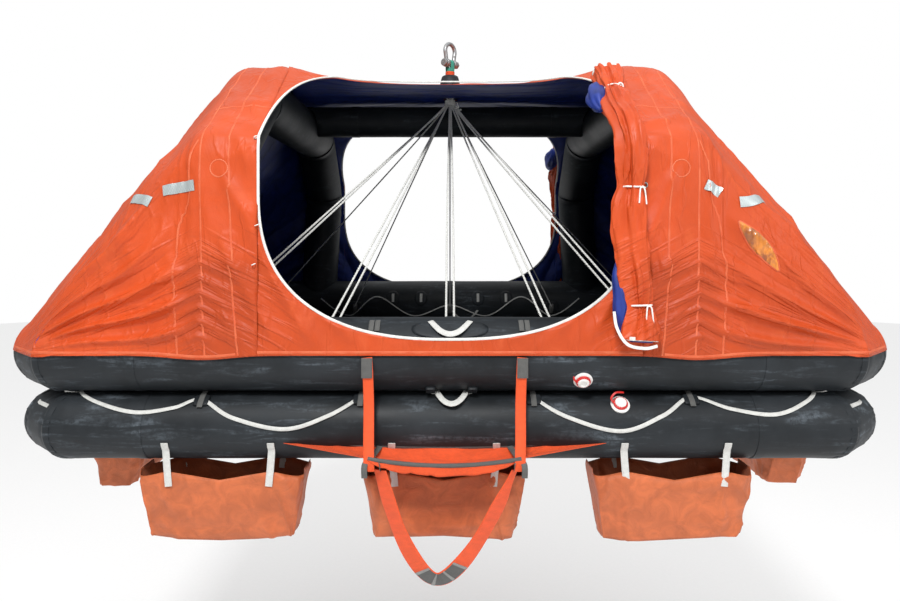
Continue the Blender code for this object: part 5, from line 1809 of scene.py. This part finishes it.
class RAFT_OT_ramp(bpy.types.Operator):
    """Build the boarding apron, its straps and the hanging step"""
    bl_idname = "raft.ramp"
    bl_label = "Boarding ramp and step"

    def execute(self, context):
        self.apron()
        self.webbing()
        self.step()
        return {"FINISHED"}

    def edge_point(self, s, t):
        """A place on the apron: s runs along it, t from the tube out to the bar at its outer edge."""
        reach = RAMP_TIP + (RAMP_LIP - RAMP_TIP) * t
        inner = TUBE_Y + 0.126
        rise = RAMP_HEIGHT + 0.028 * abs(s) ** 2 + (0.020 * (1 - t))
        dip = 0.022 * sin(pi * t) * (1 - s * s)
        return lift(RAMP_MIDDLE + s * reach, -(inner + (RAMP_OUT - inner) * t), rise - dip)

    def apron(self):
        hang = 0.80

        def place(u, v):
            s = u * 2 - 1
            t = min(1.0, v / hang)
            wave = 0.006 * ridge(ripple((s * 1.4, t * 0.5, 0), 0.35, 1.0)) + 0.003 * ripple((s * 2, t, 0), 0.3, 2.0)
            below = max(0.0, (v - hang) / (1 - hang))
            drop_by = 0.042 * below * (1 - 0.9 * s ** 4)
            return self.edge_point(s, t) + Vector((0, -0.006 * below + 0.005 * below * sin(9 * s),
                                                   wave * (1 - abs(s) ** 6) - drop_by))

        builder = loop_grid(110, 24, place, (1.45, 0.30))
        bmesh.ops.recalc_face_normals(builder, faces=builder.faces)
        piece = make_piece("boarding_apron", builder, webbing_finish("ramp_cloth"), "boarding_ramp", smooth=80)
        thicken(piece, 0.0018)
        outer, inner = [[self.edge_point(k / steps - 1, t) for k in range(2 * steps + 1)] for steps, t in ((30, 1.0), (40, 0.0))]
        made = [cord(even_path(outer, 0.012), 0.0085, 16), strap(even_path(inner, 0.02), 0.026, 0.004, (0, -0.8, -0.6))]
        make_piece("apron_piping", made, webbing_finish("grey_webbing"))

    def webbing(self):
        greys = []
        wall = -TUBE_Y - 0.186
        for side, word in LEFT_RIGHT:
            x = RAMP_MIDDLE + side * (RAMP_LIP + 0.015)
            places = ((0, wall + 0.004, 0.470), (0.003, wall, 0.43), (0.008, wall, 0.28), (0.014, -RAMP_OUT + 0.045, 0.14),
                      (0.020, -RAMP_OUT - 0.004, 0.075), (0.021, -RAMP_OUT - 0.004, 0.030))
            path = [lift(x - side * inwards, y, h) for inwards, y, h in places]
            make_piece(f"ramp_{word}_webbing", strap(path, 0.044, 0.0045, (0, -1, 0.15), 0.012), webbing_finish("ramp_webbing"),
                       "ramp_strap_" + word)
            greys.append(strap([lift(x, wall - 0.004, h) for h in (0.385, 0.412, 0.440, 0.468)], 0.046, 0.006, (0, -1, 0)))
            places = ((0.05, -TUBE_Y - 0.130, 0.085), (0.03, -RAMP_OUT + 0.06, 0.075),
                      (0.005, -RAMP_OUT - 0.010, 0.060), (0.003, -RAMP_OUT - 0.010, 0.005))
            foot = [lift(x - side * inwards, y, h) for inwards, y, h in places]
            greys.append(strap(foot, 0.024, 0.004, (0, -1, 0.6), 0.010))
            hang_x = STEP_MIDDLE + side * STEP_HALF_TOP
            drop = lifted((hang_x, -RAMP_OUT - 0.008, 0.066), (hang_x, -RAMP_OUT + 0.004, 0.048), (hang_x, STEP_Y, 0.031))
            greys.append(strap(drop, 0.026, 0.004, (side, -0.4, 0), 0.006))
        make_piece("ramp_straps_grey", greys, webbing_finish("grey_webbing"))

    def step(self):
        """The stirrup: a wide band that narrows to its ends and turns to face the boarder at the bottom."""
        gap = 0.010
        points = []
        for k in range(121):
            angle = pi * k / 120
            depth = sin(angle) ** 0.54
            reach = STEP_HALF_TOP * cos(angle) * (1 - STEP_NARROWING * depth)
            points.append(lift(STEP_MIDDLE + STEP_SHIFT * depth - reach, STEP_Y, STEP_HEIGHT - STEP_DEPTH * depth))
        points = even_path(points, gap)
        depths = [(lift(0, 0, STEP_HEIGHT).z - point.z) / STEP_DEPTH for point in points]
        count = len(points) - 1
        ways = []
        for i, point in enumerate(points):
            out = Vector((0, 1, 0)).cross(along_at(points, i)).normalized()
            out = out if out.dot(point - lift(STEP_MIDDLE, STEP_Y, -0.15)) > 0 else -out
            ways.append(out + Vector((0, -0.85 - 0.35 * smooth(depths[i], 0.45, 1.0), 0)))

        def section(angle, distance):
            share = min(1.0, distance / (gap * count))
            depth = depths[min(count, round(share * count))]
            gathered = 0.80 if share < 0.5 else 0.40
            wide = 0.112 * (gathered + (1 - gathered) * smooth(depth, 0.0, 0.35)) * (1 + 0.03 * sin(distance * 23))
            return flat_section(wide, 0.0050, angle)

        band = sweep(points, section, 16, ways, around=0.16)
        make_piece("step_band", band, webbing_finish("step_webbing"), "step_loop", body="step")
        middle = count // 2
        pads, seams = [], []
        for at in (-6, 0, 6):
            span = slice(middle + at - 3, middle + at + 4)
            pads.append(strap([p.lerp(points[middle + at], 0.04) for p in points[span]], 0.100, 0.0095, ways[span], sides=12))
        for at in (-9, -3, 3, 9):
            span = slice(middle + at - 1, middle + at + 2)
            a, b, c = points[span]
            seams.append(strap([b.lerp(a, 0.5), b, b.lerp(c, 0.5)], 0.102, 0.0125, ways[span], sides=12))
        make_piece("step_pads", pads, webbing_finish("grey_webbing"), body="step")
        make_piece("step_pad_seams", seams, webbing_finish("pad_binding"), body="step")


class RAFT_OT_fittings(bpy.types.Operator):
    """Build the valve caps and the gas cylinder with its straps and hose"""
    bl_idname = "raft.fittings"
    bl_label = "Valves and cylinder"

    def execute(self, context):
        whites, reds = [], []
        flange = ((-0.006, 0.020), (-0.006, 0.040), (0.002, 0.041), (0.0045, 0.038), (0.0050, 0.030), (0.0050, 0.020))
        ring = ((0.004, 0.018), (0.004, 0.030), (0.010, 0.0315), (0.014, 0.030), (0.0150, 0.026), (0.0150, 0.018))
        cap = ((0.012, 0.010), (0.012, 0.0235), (0.019, 0.0235), (0.0215, 0.021), (0.0220, 0.014), (0.0190, 0.012),
               (0.0185, 0.004))
        tether = ((-0.028, 0, 0.011), (-0.040, 0.020, 0.012), (-0.020, 0.046, 0.008), (0.014, 0.048, 0.006))
        for x, height in ((0.565, 0.364), (0.73, 0.255)):
            spot, way = tube_face(x, height, 0.0, -1)
            whites += [turned(flange, spot, way, 48), turned(cap, spot, way, 48)]
            across = Vector((1, 0, 0))
            for angle in turns(16):
                rim = spot + (across * cos(angle) + way.cross(across) * sin(angle)) * 0.0238
                whites.append(cord([rim + way * 0.0125, rim + way * 0.019], 0.0016, 6))
            path = [spot + Vector((a, 0, z)) + way * off for a, z, off in tether]
            reds += [turned(ring, spot, way, 48), strap(path, 0.009, 0.0022, way, 0.004)]
        white = plain_finish("white_plastic", (0.80, 0.79, 0.76), 0.35, scale=60.0, contrast=0.06)
        red = plain_finish("red_plastic", (0.56, 0.018, 0.014), 0.38, scale=60.0, contrast=0.14)
        make_piece("valve_bodies", whites, white, ("valve_upper", "valve_lower"), 40)
        make_piece("valve_caps", reds, red, smooth=40)
        self.cylinder()
        return {"FINISHED"}

    def cylinder(self):
        low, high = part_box("gas_cylinder")
        middle = (low + high) / 2
        half = (high.x - low.x) / 2
        radius = (high.z - low.z) / 2
        dome = ((0, 0.03), (0.003, 0.055), (0.014, 0.080), (0.034, 0.100), (0.065, radius - SHRINK))
        neck = ((0.110, radius - SHRINK), (0.070, 0.098), (0.040, 0.075), (0.022, 0.052), (0.012, 0.036), (0, 0.033))
        profile = [(-half + along, r) for along, r in dome] + [(half - along, r) for along, r in neck]
        painted = plain_finish("painted_cylinder", (0.20, 0.22, 0.23), 0.4, coat=0.2, scale=14.0)
        make_piece("cylinder_body", turned(profile, middle, (1, 0, 0), 64), painted, "gas_cylinder", 40)
        bands = []
        for x in (-0.22, 0.16):
            ring = [middle + Vector((x, *polar(radius + 0.003, a))) for a in turns(60)]
            bands.append(strap(ring, 0.045, 0.004, [p - middle - Vector((x, 0, 0)) for p in ring], closed=True))
            for side, _ in NEAR_FAR:
                rise = [middle + Vector((x, side * (radius + off), up))
                        for off, up in ((0.004, 0), (0.010, 0.07), (0.06, 0.140), (0.16, 0.146))]
                bands.append(strap(rise, 0.045, 0.004, (0, side, -0.6), 0.012))
        make_piece("cylinder_straps", bands, webbing_finish("grey_webbing"))
        tip = Vector((high.x, middle.y, middle.z))
        valve = ((0.0, 0.014), (0.0, 0.023), (0.012, 0.023), (0.015, 0.018), (0.040, 0.018), (0.043, 0.021), (0.060, 0.021),
                 (0.064, 0.018), (0.068, 0.010))
        port = turned(barrel(0.0, 0.034, 0.011, 0.002), tip + Vector((0.028, 0, 0)), (0, -1, 0.2), 32)
        brass = plain_finish("valve_brass", (0.52, 0.36, 0.13), 0.35, metallic=1.0, scale=70.0)
        make_piece("cylinder_head", [turned(valve, tip, (1, 0, 0), 48), port], brass, "cylinder_valve", 40)
        start = tip + Vector((0.028, -0.032, 0.006))
        hose = [start + Vector(step) for step in ((0, 0, 0), (0.002, -0.05, 0.012), (0.03, -0.30, 0.035), (0.05, -0.80, 0.060),
                                                  (0.05, -1.14, 0.110))]
        pipe = sweep(smooth_path(hose, 0.008), lambda angle, distance: polar(0.0075 + 0.0006 * sin(distance * 900), angle), 14)
        make_piece("inflation_hose", pipe, rubber_finish(0.3), smooth=80)


# Stage
def place_in_scene(name, data, place=(0, 0, 0), turn=(0, 0, 0)):
    thing = bpy.data.objects.new(name, data)
    thing.location = place
    thing.rotation_euler = turn
    bpy.context.scene.collection.objects.link(thing)
    return thing


class RAFT_OT_stage(bpy.types.Operator):
    """Set the pale floor, the soft lights and the camera at the photograph's angle"""
    bl_idname = "raft.stage"
    bl_label = "Stage"

    def execute(self, context):
        stage = settings("stage")
        floor = bmesh.new()
        bmesh.ops.create_circle(floor, cap_ends=True, segments=64, radius=30)
        bmesh.ops.translate(floor, verts=floor.verts, vec=(0, 0, stage.floor_height))
        mesh = bpy.data.meshes.new("studio_floor")
        floor.to_mesh(mesh)
        floor.free()
        mesh.materials.append(plain_finish("studio_floor", (0.98, 0.98, 0.98), 0.9, contrast=0.01, relief=0.0))
        place_in_scene("studio_floor", mesh)
        self.surroundings(stage.sky)
        self.light("key_light", (-1.0, -6.8, 4.0), (0, 0, -1.0), 1.3, stage.key * 2.5)
        self.light("fill_light", (5.0, -4.5, 0.2), (0, 0, -1.2), 3.0, stage.key * 0.4)
        sun = bpy.data.lights.new("overhead_light", "SUN")
        sun.energy = stage.overhead
        sun.angle = radians(110)
        place_in_scene("overhead_light", sun)
        camera = bpy.data.cameras.new("photo_camera")
        camera.lens = stage.lens
        camera.shift_y = stage.shift
        context.scene.camera = place_in_scene("photo_camera", camera, lift(*EYE), (radians(90), 0, 0))
        context.scene.view_settings.view_transform = "Standard"
        return {"FINISHED"}

    def surroundings(self, strength):
        """White surroundings that look fully lit but shine less on the raft, so that its folds show."""
        world = bpy.data.worlds.new("studio")
        world.use_nodes = True
        tree = world.node_tree
        shade = tree.nodes["Background"]
        backdrop = tree.nodes.new("ShaderNodeBackground")
        for node in (shade, backdrop):
            node.inputs["Color"].default_value = (1, 1, 1, 1)
        shade.inputs["Strength"].default_value = strength
        path = tree.nodes.new("ShaderNodeLightPath")
        mix = tree.nodes.new("ShaderNodeMixShader")
        for number, output in enumerate((path.outputs["Is Camera Ray"], shade.outputs[0], backdrop.outputs[0])):
            tree.links.new(output, mix.inputs[number])
        tree.links.new(mix.outputs[0], tree.nodes["World Output"].inputs[0])
        bpy.context.scene.world = world

    def light(self, name, place, aim, size, power):
        lamp = bpy.data.lights.new(name, "AREA")
        lamp.shape = "SQUARE"
        lamp.size = size
        lamp.energy = power
        place_in_scene(name, lamp, place, (Vector(aim) - Vector(place)).to_track_quat("-Z", "Y").to_euler())


class RAFT_PT_panel(bpy.types.Panel):
    bl_idname = "RAFT_PT_panel"
    bl_label = "Life Raft"
    bl_space_type = "VIEW_3D"
    bl_region_type = "UI"
    bl_category = "Life Raft"

    def draw(self, context):
        for operator in OPERATORS:
            self.layout.operator(operator.bl_idname)
        for name, group in GROUPS:
            box = self.layout.box()
            for entry in group.__annotations__:
                box.prop(settings(name), entry)


GROUPS = (("rubber", RubberSettings), ("cloth", ClothSettings), ("webbing", WebbingSettings), ("stage", StageSettings))
OPERATORS = (RAFT_OT_stage, RAFT_OT_tubes, RAFT_OT_arches, RAFT_OT_canopy, RAFT_OT_seams, RAFT_OT_doors, RAFT_OT_lines,
             RAFT_OT_bridle, RAFT_OT_shackle, RAFT_OT_pockets, RAFT_OT_ramp, RAFT_OT_fittings)


def register():
    for name, group in GROUPS:
        bpy.utils.register_class(group)
        setattr(bpy.types.Scene, "raft_" + name, PointerProperty(type=group))
    for operator in OPERATORS:
        bpy.utils.register_class(operator)
    bpy.utils.register_class(RAFT_PT_panel)


def unregister():
    bpy.utils.unregister_class(RAFT_PT_panel)
    for operator in reversed(OPERATORS):
        bpy.utils.unregister_class(operator)
    for name, group in reversed(GROUPS):
        delattr(bpy.types.Scene, "raft_" + name)
        bpy.utils.unregister_class(group)


def main():
    register()
    for operator in OPERATORS:
        group, name = operator.bl_idname.split(".")
        getattr(getattr(bpy.ops, group), name)()


if __name__ == "__main__":
    main()
